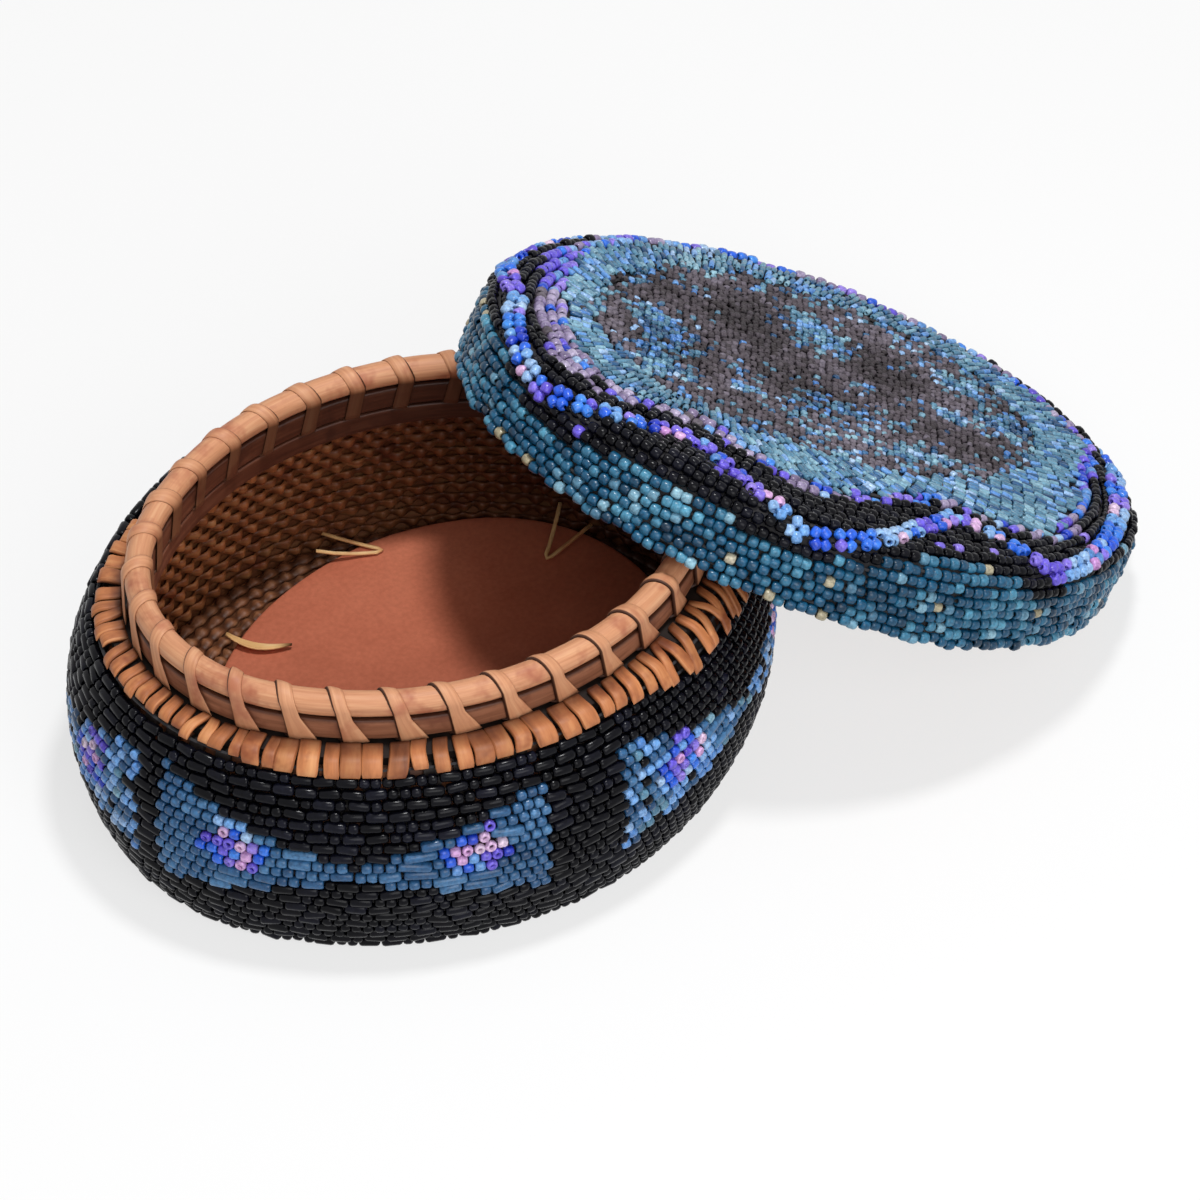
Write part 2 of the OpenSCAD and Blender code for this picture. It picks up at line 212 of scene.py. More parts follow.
def node_tree(name):
    material = bpy.data.materials.new(name)
    material.use_nodes = True
    tree = material.node_tree
    return material, tree, tree.nodes["Principled BSDF"]


def coordinates(tree, kind="Object"):
    return add(tree, "ShaderNodeTexCoord").outputs[kind]


def tone_of(tree):
    """The tone that each point of a piece carries: on cane partly random and partly painted shade, on glass
    the bead's own shade.
    """
    return add(tree, "ShaderNodeAttribute", attribute_name="tone").outputs["Fac"]


def add(tree, kind, **values):
    node = tree.nodes.new(kind)
    for key, value in values.items():
        if key in node.inputs:
            node.inputs[key].default_value = value
        else:
            setattr(node, key, value)
    return node


def stops(*rows):
    """Stops of a ramp from rows of place, red, green and blue as seen on screen."""
    return [(place, srgb(*rgb)) for place, *rgb in rows]


def ramp(tree, source, steps):
    node = add(tree, "ShaderNodeValToRGB")
    elements = node.color_ramp.elements
    for element, step in zip(elements, (steps[0], steps[-1])):
        element.position, element.color = step
    for place, colour in steps[1:-1]:
        elements.new(place).color = colour
    tree.links.new(source, node.inputs["Fac"])
    return node.outputs["Color"]


def mixed(tree, kind, share, first, second):
    node = add(tree, "ShaderNodeMix", data_type="RGBA", blend_type=kind)
    for socket, value in (("Factor", share), ("A", first), ("B", second)):
        target = [s for s in node.inputs if s.name == socket and s.enabled][0]
        if isinstance(value, bpy.types.NodeSocket):
            tree.links.new(value, target)
        else:
            target.default_value = value
    return [s for s in node.outputs if s.enabled][0]


def noise(tree, place, scale, stretch=(1, 1, 1), detail=4.0):
    mapping = add(tree, "ShaderNodeMapping")
    mapping.inputs["Scale"].default_value = stretch
    texture = add(tree, "ShaderNodeTexNoise", Scale=scale, Detail=detail, Roughness=0.6)
    tree.links.new(place, mapping.inputs["Vector"])
    tree.links.new(mapping.outputs["Vector"], texture.inputs["Vector"])
    return texture.outputs["Fac"]


def bumped(tree, shader, height, strength, distance):
    node = add(tree, "ShaderNodeBump", Strength=strength, Distance=distance)
    tree.links.new(height, node.inputs["Height"])
    tree.links.new(node.outputs["Normal"], shader.inputs["Normal"])


def spread_roughness(tree, shader, source, low, high):
    node = add(tree, "ShaderNodeMapRange")
    node.inputs["To Min"].default_value = low
    node.inputs["To Max"].default_value = high
    tree.links.new(source, node.inputs["Value"])
    tree.links.new(node.outputs["Result"], shader.inputs["Roughness"])


# From the darkest painted shade in gaps and hollows to clean cane, with the random tone of strips in between
PAINTED_SHADE_RAMP = (
    (0.0, (0.06, 0.035, 0.025, 1)),
    (0.3, (0.36, 0.3, 0.26, 1)),
    (0.65, (0.82, 0.78, 0.75, 1)),
    (1.0, (1, 1, 1, 1)),
)
CANE_ROUGH = (0.42, 0.62)
# Scale of the streaks along and across the fibre, and on solids that have no fibre coordinates
FIBRE_SCALE = (60, 1100, 1)
BLUNT_SCALE = (160, 160, 60)


def rattan(name, dark, middle, light, stain, fibres):
    """Split cane: streaks along the fibre, blotches of stain, a tone per point that is partly random and
    partly painted shade, and fine ridges.
    """
    material, tree, shader = node_tree(f"cane_{name}")
    if fibres:
        streak = noise(tree, coordinates(tree, "UV"), 1.0, FIBRE_SCALE, 5.0)
    else:
        streak = noise(tree, coordinates(tree), 1.0, BLUNT_SCALE, 5.0)
    blotch = noise(tree, coordinates(tree), 140.0, detail=3.0)
    colour = ramp(tree, streak, stops((0.28, *dark), (0.5, *middle), (0.74, *light)))
    patches = ramp(tree, blotch, [(0.52, (0, 0, 0, 1)), (0.7, (1, 1, 1, 1))])
    colour = mixed(tree, "MIX", patches, colour, srgb(*stain))
    if fibres:
        colour = mixed(tree, "MULTIPLY", 1.0, colour, ramp(tree, tone_of(tree), PAINTED_SHADE_RAMP))
    tree.links.new(colour, shader.inputs["Base Color"])
    shader.inputs["Specular IOR Level"].default_value = 0.35
    spread_roughness(tree, shader, streak, *CANE_ROUGH)
    bumped(tree, shader, streak, 0.5, 0.15 * MM)
    return material


def glass(name, shades, rough, level, coat):
    """Opaque glass beads: a colour per bead, with clouding in the glass and uneven polish."""
    material, tree, shader = node_tree(f"glass_{name}")
    cloud = noise(tree, coordinates(tree), 1300.0, detail=3.0)
    dark, middle, light = shades
    colour = ramp(tree, tone_of(tree), stops((0, *dark), (0.5, *middle), (1, *light)))
    clouded = ramp(tree, cloud, [(0.34, (0.42, 0.42, 0.46, 1)), (0.62, (1, 1, 1, 1))])
    colour = mixed(tree, "MULTIPLY", 0.8, colour, clouded)
    tree.links.new(colour, shader.inputs["Base Color"])
    shader.inputs["Specular IOR Level"].default_value = level
    shader.inputs["Coat Weight"].default_value = coat
    shader.inputs["Coat Roughness"].default_value = 0.1
    spread_roughness(tree, shader, cloud, *rough)
    return material


def liner_material():
    """Smooth red-brown panel: soft mottling, a fine grain and a dull satin."""
    material, tree, shader = node_tree("liner_panel")
    place = coordinates(tree)
    cloud = noise(tree, place, 22.0, detail=3.0)
    grain = noise(tree, place, 900.0)
    colour = ramp(tree, cloud, stops((0.3, 170, 92, 66), (0.55, 192, 108, 80), (0.8, 206, 122, 92)))
    fine = ramp(tree, grain, [(0.35, (0.86, 0.84, 0.82, 1)), (0.65, (1, 1, 1, 1))])
    colour = mixed(tree, "MULTIPLY", 1.0, colour, fine)
    tree.links.new(colour, shader.inputs["Base Color"])
    shader.inputs["Specular IOR Level"].default_value = 0.3
    spread_roughness(tree, shader, cloud, 0.5, 0.62)
    bumped(tree, shader, grain, 0.18, 0.1 * MM)
    return material


def board_material():
    """Plain sawn board: grain lines along its length and worn patches."""
    material, tree, shader = node_tree("plain_board")
    place = coordinates(tree)
    grain = noise(tree, place, 1.0, (14, 260, 260), 6.0)
    wear = noise(tree, place, 40.0)
    colour = ramp(tree, grain, stops((0.3, 104, 70, 44), (0.5, 140, 98, 63), (0.72, 170, 126, 84)))
    worn = ramp(tree, wear, [(0.35, (0.7, 0.68, 0.66, 1)), (0.65, (1, 1, 1, 1))])
    colour = mixed(tree, "MULTIPLY", 1.0, colour, worn)
    tree.links.new(colour, shader.inputs["Base Color"])
    spread_roughness(tree, shader, wear, 0.55, 0.75)
    bumped(tree, shader, grain, 0.4, 0.2 * MM)
    return material


def thread_material():
    material, tree, shader = node_tree("bead_thread")
    place = coordinates(tree)
    fuzz = noise(tree, place, 2500.0, detail=2.0)
    colour = ramp(tree, fuzz, stops((0.3, 14, 13, 16), (0.7, 34, 32, 36)))
    tree.links.new(colour, shader.inputs["Base Color"])
    spread_roughness(tree, shader, fuzz, 0.7, 0.9)
    return material


# Colours of each cane: dark, middle and light along the fibre, and the stain in its blotches
CANE_COLOURS = {
    "rod": ((188, 128, 92), (206, 146, 108), (220, 168, 128), (172, 104, 76)),
    "lashing": ((186, 127, 92), (205, 146, 108), (220, 168, 128), (178, 112, 82)),
    "band": ((118, 72, 51), (151, 98, 71), (172, 118, 89), (118, 68, 49)),
    "fold": ((132, 76, 44), (194, 124, 78), (226, 166, 112), (146, 82, 50)),
    "weave": ((184, 108, 66), (238, 158, 100), (250, 198, 138), (188, 106, 68)),
    "floor": ((146, 94, 62), (190, 130, 90), (226, 172, 128), (156, 98, 68)),
    "inner": ((100, 56, 40), (132, 80, 58), (162, 108, 82), (104, 60, 44)),
    "tip": ((214, 162, 104), (240, 194, 132), (250, 218, 166), (216, 156, 104)),
    "plain": ((98, 64, 40), (132, 90, 58), (160, 116, 78), (110, 72, 46)),
    # Near black on the solids under the beads, as painted shade in the gaps between beads
    "dark": ((16, 11, 10), (27, 19, 16), (42, 30, 24), (20, 13, 10)),
}
ON_SOLIDS = ("plain", "dark")
CANE = {name: rattan(name, *colours, name not in ON_SOLIDS) for name, colours in CANE_COLOURS.items()}

# Finish of a glass: range of roughness, specular level and coat
POLISHED = ((0.2, 0.4), 0.4, 0.12)
SATIN = ((0.2, 0.4), 0.3, 0.12)
JET = ((0.12, 0.3), 0.12, 0.0)
DULL = ((0.4, 0.65), 0.2, 0.0)
# Dark, middle and light shade of each glass, and its finish
GLASS_KINDS = {
    "black": ((4, 4, 8), (10, 10, 17), (22, 23, 36), JET),
    "teal": ((26, 66, 106), (48, 98, 144), (86, 138, 184), SATIN),
    "petrol": ((4, 34, 56), (22, 88, 124), (106, 182, 212), SATIN),
    "sky": ((74, 132, 206), (116, 174, 238), (186, 216, 246), POLISHED),
    "cobalt": ((24, 46, 190), (36, 104, 236), (80, 164, 248), POLISHED),
    "violet": ((84, 60, 200), (116, 100, 232), (176, 150, 244), POLISHED),
    "pearl": ((206, 142, 216), (230, 182, 232), (246, 228, 242), POLISHED),
    "mauve": ((108, 92, 126), (152, 136, 174), (204, 192, 220), POLISHED),
    "aqua": ((64, 108, 137), (98, 148, 175), (158, 203, 220), SATIN),
    "taupe": ((58, 52, 55), (95, 87, 94), (130, 122, 134), DULL),
    "cream": ((150, 140, 110), (190, 180, 150), (222, 214, 192), POLISHED),
}
GLASS = {name: glass(name, shades, *finish) for name, (*shades, finish) in GLASS_KINDS.items()}


# Mesh builders

def finished(name, mesh, material, slot, body):
    mesh.materials.append(material)
    mesh.polygons.foreach_set("use_smooth", np.ones(len(mesh.polygons), bool))
    piece = bpy.data.objects.new(name, mesh)
    bpy.context.scene.collection.objects.link(piece)
    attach(piece, body)
    return piece


def set_tones(mesh, tones):
    attribute = mesh.attributes.new("tone", "FLOAT", "POINT")
    attribute.data.foreach_set("value", np.ascontiguousarray(tones, np.float32))


class Strands:
    """Tubes of one piece, each with fibre coordinates in metres and a shade."""

    def __init__(self):
        self.points = []
        self.faces = []
        self.uvs = []
        self.tones = []
        self.count = 0

    def tube(self, grid, along, across, tone=0.5, closed=False):
        """grid[i, j] is station i along the strand and corner j round it."""
        n, m = grid.shape[:2]
        index = self.count + np.arange(n * m).reshape(n, m)
        runs = n if closed else n - 1
        wrapped = np.concatenate([index, index[:1]])[: runs + 1]
        wrapped = np.concatenate([wrapped, wrapped[:, :1]], 1)
        quads = np.stack([wrapped[:-1, :-1], wrapped[:-1, 1:], wrapped[1:, 1:], wrapped[1:, :-1]], -1)
        u = np.linspace(0, along, runs + 1)
        v = np.linspace(0, across, m + 1)
        place = np.stack(np.meshgrid(u, v, indexing="ij"), -1)
        corners = np.stack([place[:-1, :-1], place[:-1, 1:], place[1:, 1:], place[1:, :-1]], 2)
        self.faces += quads.reshape(-1, 4).tolist()
        self.uvs.append(corners.reshape(-1, 2) + draw.random(2) * 0.3)
        if not closed:
            for row in (index[0], index[-1][::-1]):
                self.faces.append(row.tolist())
                self.uvs.append(np.tile(place[0, 0], (m, 1)))
        self.points.append(grid.reshape(-1, 3))
        self.tones.append(np.broadcast_to(tone, (n, m)).ravel())
        self.count += n * m

    def piece(self, name, material, slot, body):
        mesh = bpy.data.meshes.new(name)
        mesh.from_pydata(np.concatenate(self.points).tolist(), [], self.faces)
        layer = mesh.uv_layers.new(name="fibre")
        layer.data.foreach_set("uv", np.concatenate(self.uvs).astype(np.float32).ravel())
        set_tones(mesh, np.concatenate(self.tones))
        sides = bmesh.new()
        sides.from_mesh(mesh)
        bmesh.ops.recalc_face_normals(sides, faces=sides.faces)
        sides.to_mesh(mesh)
        sides.free()
        return finished(name, mesh, material, slot, body)


def rounded(width, height, corner, steps=3):
    """Outline of a rectangle with round corners, centred, as points."""
    corner = min(corner, width / 2, height / 2)
    turn = np.radians(np.linspace(0, 90, steps))
    points = []
    for k, (sx, sy) in enumerate(((1, 1), (-1, 1), (-1, -1), (1, -1))):
        a = turn + k * math.pi / 2
        x = sx * (width / 2 - corner) + corner * np.cos(a)
        y = sy * (height / 2 - corner) + corner * np.sin(a)
        points.append(np.stack([x, y], 1))
    return np.concatenate(points)


def ring_grid(share, d, z, outline):
    """Grid of an outline of offset and height swept round the oval. d and z may vary along the ring."""
    angle = normal_angle(share, 0.0)
    d = np.broadcast_to(d, share.shape)[:, None] + outline[None, :, 0]
    z = np.broadcast_to(z, share.shape)[:, None] + outline[None, :, 1]
    x, y = oval_point(angle[:, None], d)
    return np.stack([x, y, z], -1)


def denser(outline, longest):
    """The same outline with points added so that no side is longer than asked."""
    points = []
    for here, after in zip(outline, np.roll(outline, -1, 0)):
        parts = max(1, math.ceil(np.linalg.norm(after - here) / longest))
        points += [here + (after - here) * i / parts for i in range(parts)]
    return np.array(points)


def with_unit_rows(vectors):
    return vectors / np.linalg.norm(vectors, axis=1, keepdims=True)


def outline_length(outline):
    return np.linalg.norm(np.diff(outline, axis=0, append=outline[:1]), axis=1).sum()


# Direction from the middle where the painted shade inside the box is lightest
LEAST_PAINTED_SHADE_HEADING = math.radians(205)
# Longest side of a band's outline, and how far down from its top the painted shade of the groove under the
# rod reaches
BAND_FACE = 0.6 * MM
GROOVE_SHADE_DEPTH = 0.9 * MM


def painted_inside_shade(angle):
    """Painted shade on the cane inside the box: lightest at the front left, darkest at the back right by the
    lid.
    """
    return 0.51 + 0.49 * np.cos(angle - LEAST_PAINTED_SHADE_HEADING)


def hoop(name, node, material, slot, thickness, corner, wander, place=None, painted_groove_shade=0.0, inside=False):
    """Cane band bent round the oval like its solid: eased edges, a slight waver and painted shade along its
    top, under the rod.
    """
    low, high = lid_box(node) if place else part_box(node)
    outer = high[0] - HALF_L
    height = high[2] - low[2]
    outline = denser(rounded(thickness, height, corner), BAND_FACE)
    share = around(BAND_STEPS)
    d = outer - thickness / 2 + smooth_noise(share, (3, 7, 17, 29), wander)
    grid = ring_grid(share, d, (low[2] + high[2]) / 2, outline)
    # Painted shade darkens the band's top, in the groove under the rod
    shade = 0.75 - painted_groove_shade * np.clip((outline[:, 1] - height / 2) / GROOVE_SHADE_DEPTH + 1, 0, 1)
    # Painted shade inside the box, darker towards the back right
    if inside:
        shade = shade * painted_inside_shade(normal_angle(share, 0.0))[:, None]
    strands = Strands()
    strands.tube(place(grid) if place else grid, ring_length(outer), outline_length(outline), shade, True)
    piece = strands.piece(name, material, slot, "lid" if place else "box")
    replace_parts(piece, node)


def even_ring(pitch, phase):
    """Shares of copies spaced round the oval as the solids space them."""
    shares = []
    length, _ = knots(0.0)
    for k in range(4):
        arc = length[k + 1] - length[k]
        copies = max(3, round(arc / pitch))
        shares += [(length[k] + arc * (i + 0.5 + phase) / copies) / length[-1] for i in range(copies)]
    return np.array(shares)


def directions(angle):
    """Outward, onward and upward at a normal angle of the oval."""
    outward = np.array([math.cos(angle), math.sin(angle), 0])
    onward = np.array([-math.sin(angle), math.cos(angle), 0])
    return outward, onward, np.array([0, 0, 1.0])


# Rim

def make_rod():
    share = around(ROD_STEPS)
    turn = full_turn(16)
    swell = 1 + smooth_noise(share, (5, 11, 23, 41), 0.02)
    outline = ROD_R * np.stack([np.cos(turn), np.sin(turn)], 1)
    grid = ring_grid(share, ROD_D, ROD_Z, outline)
    middle = ring_grid(share, ROD_D, ROD_Z, np.zeros((1, 2)))
    grid = middle + (grid - middle) * swell[:, None, None]
    # Painted shade: the underside of the rod is darker
    shade = 0.92 - 0.5 * np.clip(-np.sin(turn) - 0.35, 0, 1)
    strands = Strands()
    strands.tube(grid, ring_length(ROD_D), 2 * math.pi * ROD_R, shade, True)
    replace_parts(strands.piece("rim_rod_cane", CANE["rod"], "rattan_pale", "box"), "rim_rod")


# Section of a lashing strip from its edge with a painted shadow line: share of width, step aside, share of
# thickness, shade
LASH_SECTION = (
    (0.0, -0.34 * MM, 0.0, 0.0),
    (0.0, -0.2 * MM, 0.45, 0.0),
    (0.0, -0.02 * MM, 0.88, 0.08),
    (0.0, 0.16 * MM, 1.0, 0.8),
    (0.25, 0.0, 1.0, 1.0),
    (0.55, 0.0, 0.8, 1.0),
    (0.82, 0.0, 0.5, 0.96),
    (0.98, 0.0, 0.22, 0.85),
    (1.0, 0.04 * MM, 0.0, 0.5),
    (0.5, 0.0, 0.0, 0.5),
)
LASH_LEAN = 4.4 * MM
LASH_THICK = 0.55 * MM
LASH_SHIFT = 1.6 * MM
LASH_GIRTH = 8 * MM
# Gap between strip and rod, and how far the run under the bands stops short of their faces
LASH_GAP = 0.05 * MM
LASH_SHORT = 0.5 * MM
# Width over the rod and how much wider the foot is, in millimetres
LASH_WIDTH = 3.0
LASH_FLARE = 2.6
# Painted shade on the inside, and how many stations before it the painted shade falls over
LASH_INSIDE = 0.36
LASH_FADE = 5


def lash_path():
    """Stations of a strip's loop (offset, height, direction), with share of the lean, width and painted
    shade.
    """
    reach = ROD_R + LASH_GAP
    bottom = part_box("rim_lashing")[0].z + LASH
    rise = np.linspace(bottom, ROD_Z, 8)[:-1]
    over = np.radians(np.linspace(0, 180, 17))
    under = np.linspace(ROD_D - reach + LASH_SHORT, ROD_D + reach - LASH_SHORT, 7)
    path = [(ROD_D + reach, z, 0.0) for z in rise]
    path += [(ROD_D + reach * math.cos(a), ROD_Z + reach * math.sin(a), a) for a in over]
    top = len(path)
    path += [(ROD_D - reach, z, math.pi) for z in rise[::-1]]
    path += [(d, bottom, 1.5 * math.pi) for d in under]
    path = np.array(path)
    station = np.arange(len(path))
    share = np.concatenate([np.linspace(0, 1, top), np.linspace(1, 0.2, len(path) - top)])
    height = (path[:, 1] - bottom) / (ROD_Z - bottom)
    foot = np.clip(1 - height / 0.75, 0, 1) * (station < top)
    width = (LASH_WIDTH + LASH_FLARE * foot) * MM
    # Painted shade: the strip's legs inside the box are darker
    shade = np.where(station < top - LASH_FADE, 1.0, LASH_INSIDE)
    shade[top - LASH_FADE:top] = np.linspace(0.95, 0.55, LASH_FADE)
    return path, share, width, shade


def make_lashings():
    path, share, width, lash_inside_shade = lash_path()
    strands = Strands()
    length = np.linalg.norm(np.diff(path[:, :2], axis=0), axis=1).sum()
    for at in even_ring(LASH_PITCH, LASH_PHASE):
        angle = normal_angle(at, 0.0)
        outward, onward, upward = directions(angle)
        lean = LASH_LEAN * (1 + draw.normal(0, 0.08))
        broad = 1 + draw.normal(0, 0.08)
        thick = LASH_THICK * (1 + draw.normal(0, 0.1))
        nudge = draw.normal(0, 0.3 * MM)
        x, y = oval_point(angle, ROD_D)
        rows = []
        for (d, z, a), p, w in zip(path, share, width):
            base = np.array([x, y, 0]) + outward * (d - ROD_D) + upward * z
            base = base + onward * (lean * (0.5 - p) + nudge - LASH_SHIFT)
            face = outward * math.cos(a) + upward * math.sin(a)
            rows.append([
                base + onward * (across * w * broad + side) + face * high * thick
                for across, side, high, _ in LASH_SECTION
            ])
        shade = np.array([tone for _, _, _, tone in LASH_SECTION]) * draw.uniform(0.86, 1.0)
        # The inside legs also take the painted shade inside the box
        lash_painted_shade = np.where(lash_inside_shade < 0.5, lash_inside_shade * painted_inside_shade(angle), lash_inside_shade)
        strands.tube(np.array(rows), length, LASH_GIRTH, shade * lash_painted_shade[:, None], True)
    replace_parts(strands.piece("rim_lashing_cane", CANE["lashing"], "rattan_tan", "box"), "rim_lashing")


# Stake ends by direction from the middle in degrees: how far they lean sideways, and how slim they are
FOLD_HEADINGS = (-180, -150, -130, -95, -80, -60, -45, -30, 0, 40, 90, 105, 128, 160, 180)
FOLD_LEANS = (-6, -4, 0, 0, 4, 10, 16, 20, 20, 15, 8, 5, 3, -4, -6)
FOLD_SLIM = (0.6, 0.5, 0.1, 0, 0.3, 0.8, 1, 1, 1, 0.8, 0.3, 0.1, 0.1, 0.5, 0.6)
# How many millimetres of them hang over the shoulder's edge
LAP_HEADINGS = (-180, -150, -138, -74, -68, 10, 20, 60, 80, 92, 105, 128, 142, 180)
FOLD_LAPS = (0.3, 0.3, 1.7, 1.7, 4.4, 4.4, 1.7, 1.7, 0.3, 0.3, -2.6, -2.6, 0.3, 0.3)
FOLD_BEND = math.radians(62)
FOLD_ROUND = 1.8 * MM
# Gap between the rim rod's face and the root of a stake end
FOLD_ROOT = 0.75 * MM
# Widths and gaps of blocky tabs and of twigs, in millimetres
TAB_WIDTH = (2.7, 4.8)
TWIG_WIDTH = (1.7, 2.7)
TAB_GAPS = (0.1, 0.5, 1.3)
TWIG_GAP = (0.2, 1.1)
# Some tabs stand up a little, in millimetres, but none within this many degrees of the lid's end
TAB_LIFTS = (0.0, 0.0, 0.35)
LIFT_FROM = 62
# Stations along the flat of a stake end, angles over its nose, and steps for working out its bend
FOLD_STEPS = 10
FOLD_NOSE = np.radians([25, 50, 72, 86])
BEND_STEPS = 120


def heading_of(angle):
    """Direction from the middle in degrees, from -180 to 180."""
    return (math.degrees(angle) + 180) % 360 - 180


def fold_lap(angle):
    """How far the stake ends hang over the shoulder's edge at a normal angle."""
    return np.interp(heading_of(angle), LAP_HEADINGS, FOLD_LAPS) * MM


def make_folds():
    """Stake ends laid over the shoulder: blocky tabs in front, slim and swept round at the lid's end."""
    thick = fold_high.z - fold_low.z
    inner = ROD_D + ROD_R + FOLD_ROOT
    strands = Strands()
    along = 0.0
    while along < ring_length(0.0) - 2 * MM:
        angle = normal_angle(along / ring_length(0.0), 0.0)
        heading = heading_of(angle)
        lean = math.radians(np.interp(heading, FOLD_HEADINGS, FOLD_LEANS) + draw.normal(0, 7))
        slim = np.interp(heading, FOLD_HEADINGS, FOLD_SLIM)
        width = draw.uniform(*TAB_WIDTH) * (1 - slim) + draw.uniform(*TWIG_WIDTH) * slim
        gap = draw.choice(TAB_GAPS) * (1 - slim) + draw.uniform(*TWIG_GAP) * slim
        lap = fold_lap(angle) + draw.uniform(-0.9, 0.6) * MM
        lift = 0.0 if abs(heading) < LIFT_FROM else draw.choice(TAB_LIFTS)
        high = draw.uniform(0.8, 1.0) * thick
        strip_of_fold(strands, angle, inner, lap, width * MM, lean, lift * MM, high, slim)
        along += (width / math.cos(lean) + gap) * MM
    piece = strands.piece("shoulder_fold_cane", CANE["fold"], "rattan_orange", "box")
    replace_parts(piece, "shoulder_folds")


def strip_of_fold(strands, angle, inner, lap, width, lean, lift, high, slim):
    """One stake end: flat from the collar to the edge, then bent down the wall as far as it hangs."""
    outward, onward, upward = directions(angle)
    x, y = oval_point(angle, 0.0)
    reach = 1.1 * high
    flat = np.linspace(inner, lap - reach, FOLD_STEPS)
    run = np.concatenate([flat, lap - reach * (1 - np.sin(FOLD_NOSE))])
    taper = np.concatenate([np.ones(FOLD_STEPS), np.cos(FOLD_NOSE)])
    fine = np.linspace(inner, lap, BEND_STEPS)
    tilt = FOLD_BEND * (1 - 0.3 * slim) * np.clip(1 + fine / (FOLD_ROUND * (1 + slim)), 0, 1)
    step = (lap - inner) / (BEND_STEPS - 1)
    out = inner + np.cumsum(np.cos(tilt)) * step
    down = np.cumsum(np.sin(tilt)) * step
    bow = draw.normal(0, 0.25 * MM)
    level = fold_low.z + high / 2 + lift
    tone = draw.uniform(0.48, 1.0)
    # Painted shade with some dirt: darker towards the root under the collar
    root = 0.1 + 0.15 * slim
    rows = []
    shades = []
    for s, k in zip(run, taper):
        far = (s - inner) / (lap - inner)
        slope = np.interp(s, fine, tilt)
        side = -math.tan(lean) * (s - inner / 2) + bow * math.sin(math.pi * far)
        broad = width * (0.84 + 0.16 * k) * (1 - 0.25 * slim * (1 - far))
        outline = rounded(broad, high * max(k, 0.15), (0.3 + 0.2 * slim) * high)
        height = level - np.interp(s, fine, down) - 0.25 * (1 - k) * high
        base = np.array([x, y, height]) + outward * np.interp(s, fine, out) + onward * side
        face = outward * math.sin(slope) + upward * math.cos(slope)
        rows.append(base + onward * outline[:, :1] + face * outline[:, 1:])
        # Painted shade: the underside of each stake end is darker
        edge = np.where(outline[:, 1] < 0, 0.3, 1.0)
        shades.append(tone * (root + (1 - root) * min(1, (1.3 + 1.3 * slim) * far)) * edge)
    strands.tube(np.array(rows), lap - inner, 2 * width, np.array(shades))


# Weave
WEAVE_BUMPS = 90
BUMP_STEPS = 6
WEAVER_GIRTH = 6 * MM
# Rows of weavers up the wall, in over the floor and up the lid's side, and room at the first and last
WALL_ROWS = 19
FLOOR_ROWS = 10
LID_SIDE_ROWS = 4
ROW_EDGE = 1.2 * MM
# Depth of the wall's weavers and of the skin of painted shade behind them, inward from the beads' outer face
WALL_DEPTH = 5 * MM
SKIN_DEPTH = 3.9 * MM
# Dark tone of that skin: painted shade in the weavers' gaps
SKIN_PAINTED_SHADE = 0.12
# Width over which a skin's fibre coordinates run
SKIN_GIRTH = 0.1
COIL_PITCH = 2.5 * MM
COIL_STEP = 1.2 * MM


def weave_row(strands, d, z, swing, half, place, turned, tone):
    """One weaver in waves, tall and lighter where it comes forward, slim and darker with painted shade where
    it goes behind.
    """
    share = around(WEAVE_BUMPS * BUMP_STEPS)
    angle = normal_angle(share, 0.0)
    turn = full_turn(8)
    wave = np.cos(2 * math.pi * WEAVE_BUMPS * share + turned + smooth_noise(share, (7, 23, 41), 0.9))
    size = 0.8 + 0.2 * wave + smooth_noise(share, (13, 37, 71, 109), 0.2)
    out = d + swing[0] * wave + smooth_noise(share, (9, 31, 57, 93), 0.16 * MM)
    up = z + swing[1] * wave + smooth_noise(share, (5, 19, 43, 77), 0.3 * MM)
    x, y = oval_point(angle[:, None], out[:, None] + half[0] * size[:, None] * np.cos(turn))
    grid = np.stack([x, y, up[:, None] + half[1] * size[:, None] * np.sin(turn)], -1)
    # Painted shade: darker where the weaver goes behind, lighter where it comes forward
    shade = tone * np.clip(0.6 + 0.35 * wave + smooth_noise(share, (17, 47, 83, 131), 0.4), 0.2, 1)
    # On the box, the painted shade inside the box as well
    if not place:
        shade = shade * painted_inside_shade(angle)
    strands.tube(place(grid) if place else grid, ring_length(0.0), WEAVER_GIRTH, shade[:, None], True)


def painted_shade_skin(strands, outline):
    """Closed skin behind or under the weavers, dark as painted shade in their gaps."""
    grid = ring_grid(around(SKIN_STEPS), 0.0, 0.0, outline)
    strands.tube(grid, ring_length(0.0), SKIN_GIRTH, SKIN_PAINTED_SHADE, True)


def make_wall_weave():
    """Weavers up the inside of the wall, with a skin of painted shade behind them."""
    low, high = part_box("woven_wall")
    strands = Strands()
    for i, z in enumerate(np.linspace(low.z + ROW_EDGE, high.z - ROW_EDGE, WALL_ROWS)):
        d = wall_offset(ARC_R - WALL_DEPTH, z)
        tone = draw.uniform(0.7, 1.0)
        weave_row(strands, d, z, (-0.55 * MM, 0), (0.62 * MM, 1.3 * MM), None, i * math.pi, tone)
    z = np.linspace(low.z, high.z, 12)
    skin = np.stack([wall_offset(ARC_R - SKIN_DEPTH, z), z], 1)
    painted_shade_skin(strands, np.concatenate([skin, skin[::-1] + [0.08 * MM, 0]]))
    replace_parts(strands.piece("wall_weave_cane", CANE["weave"], "weave", "box"), "woven_wall")


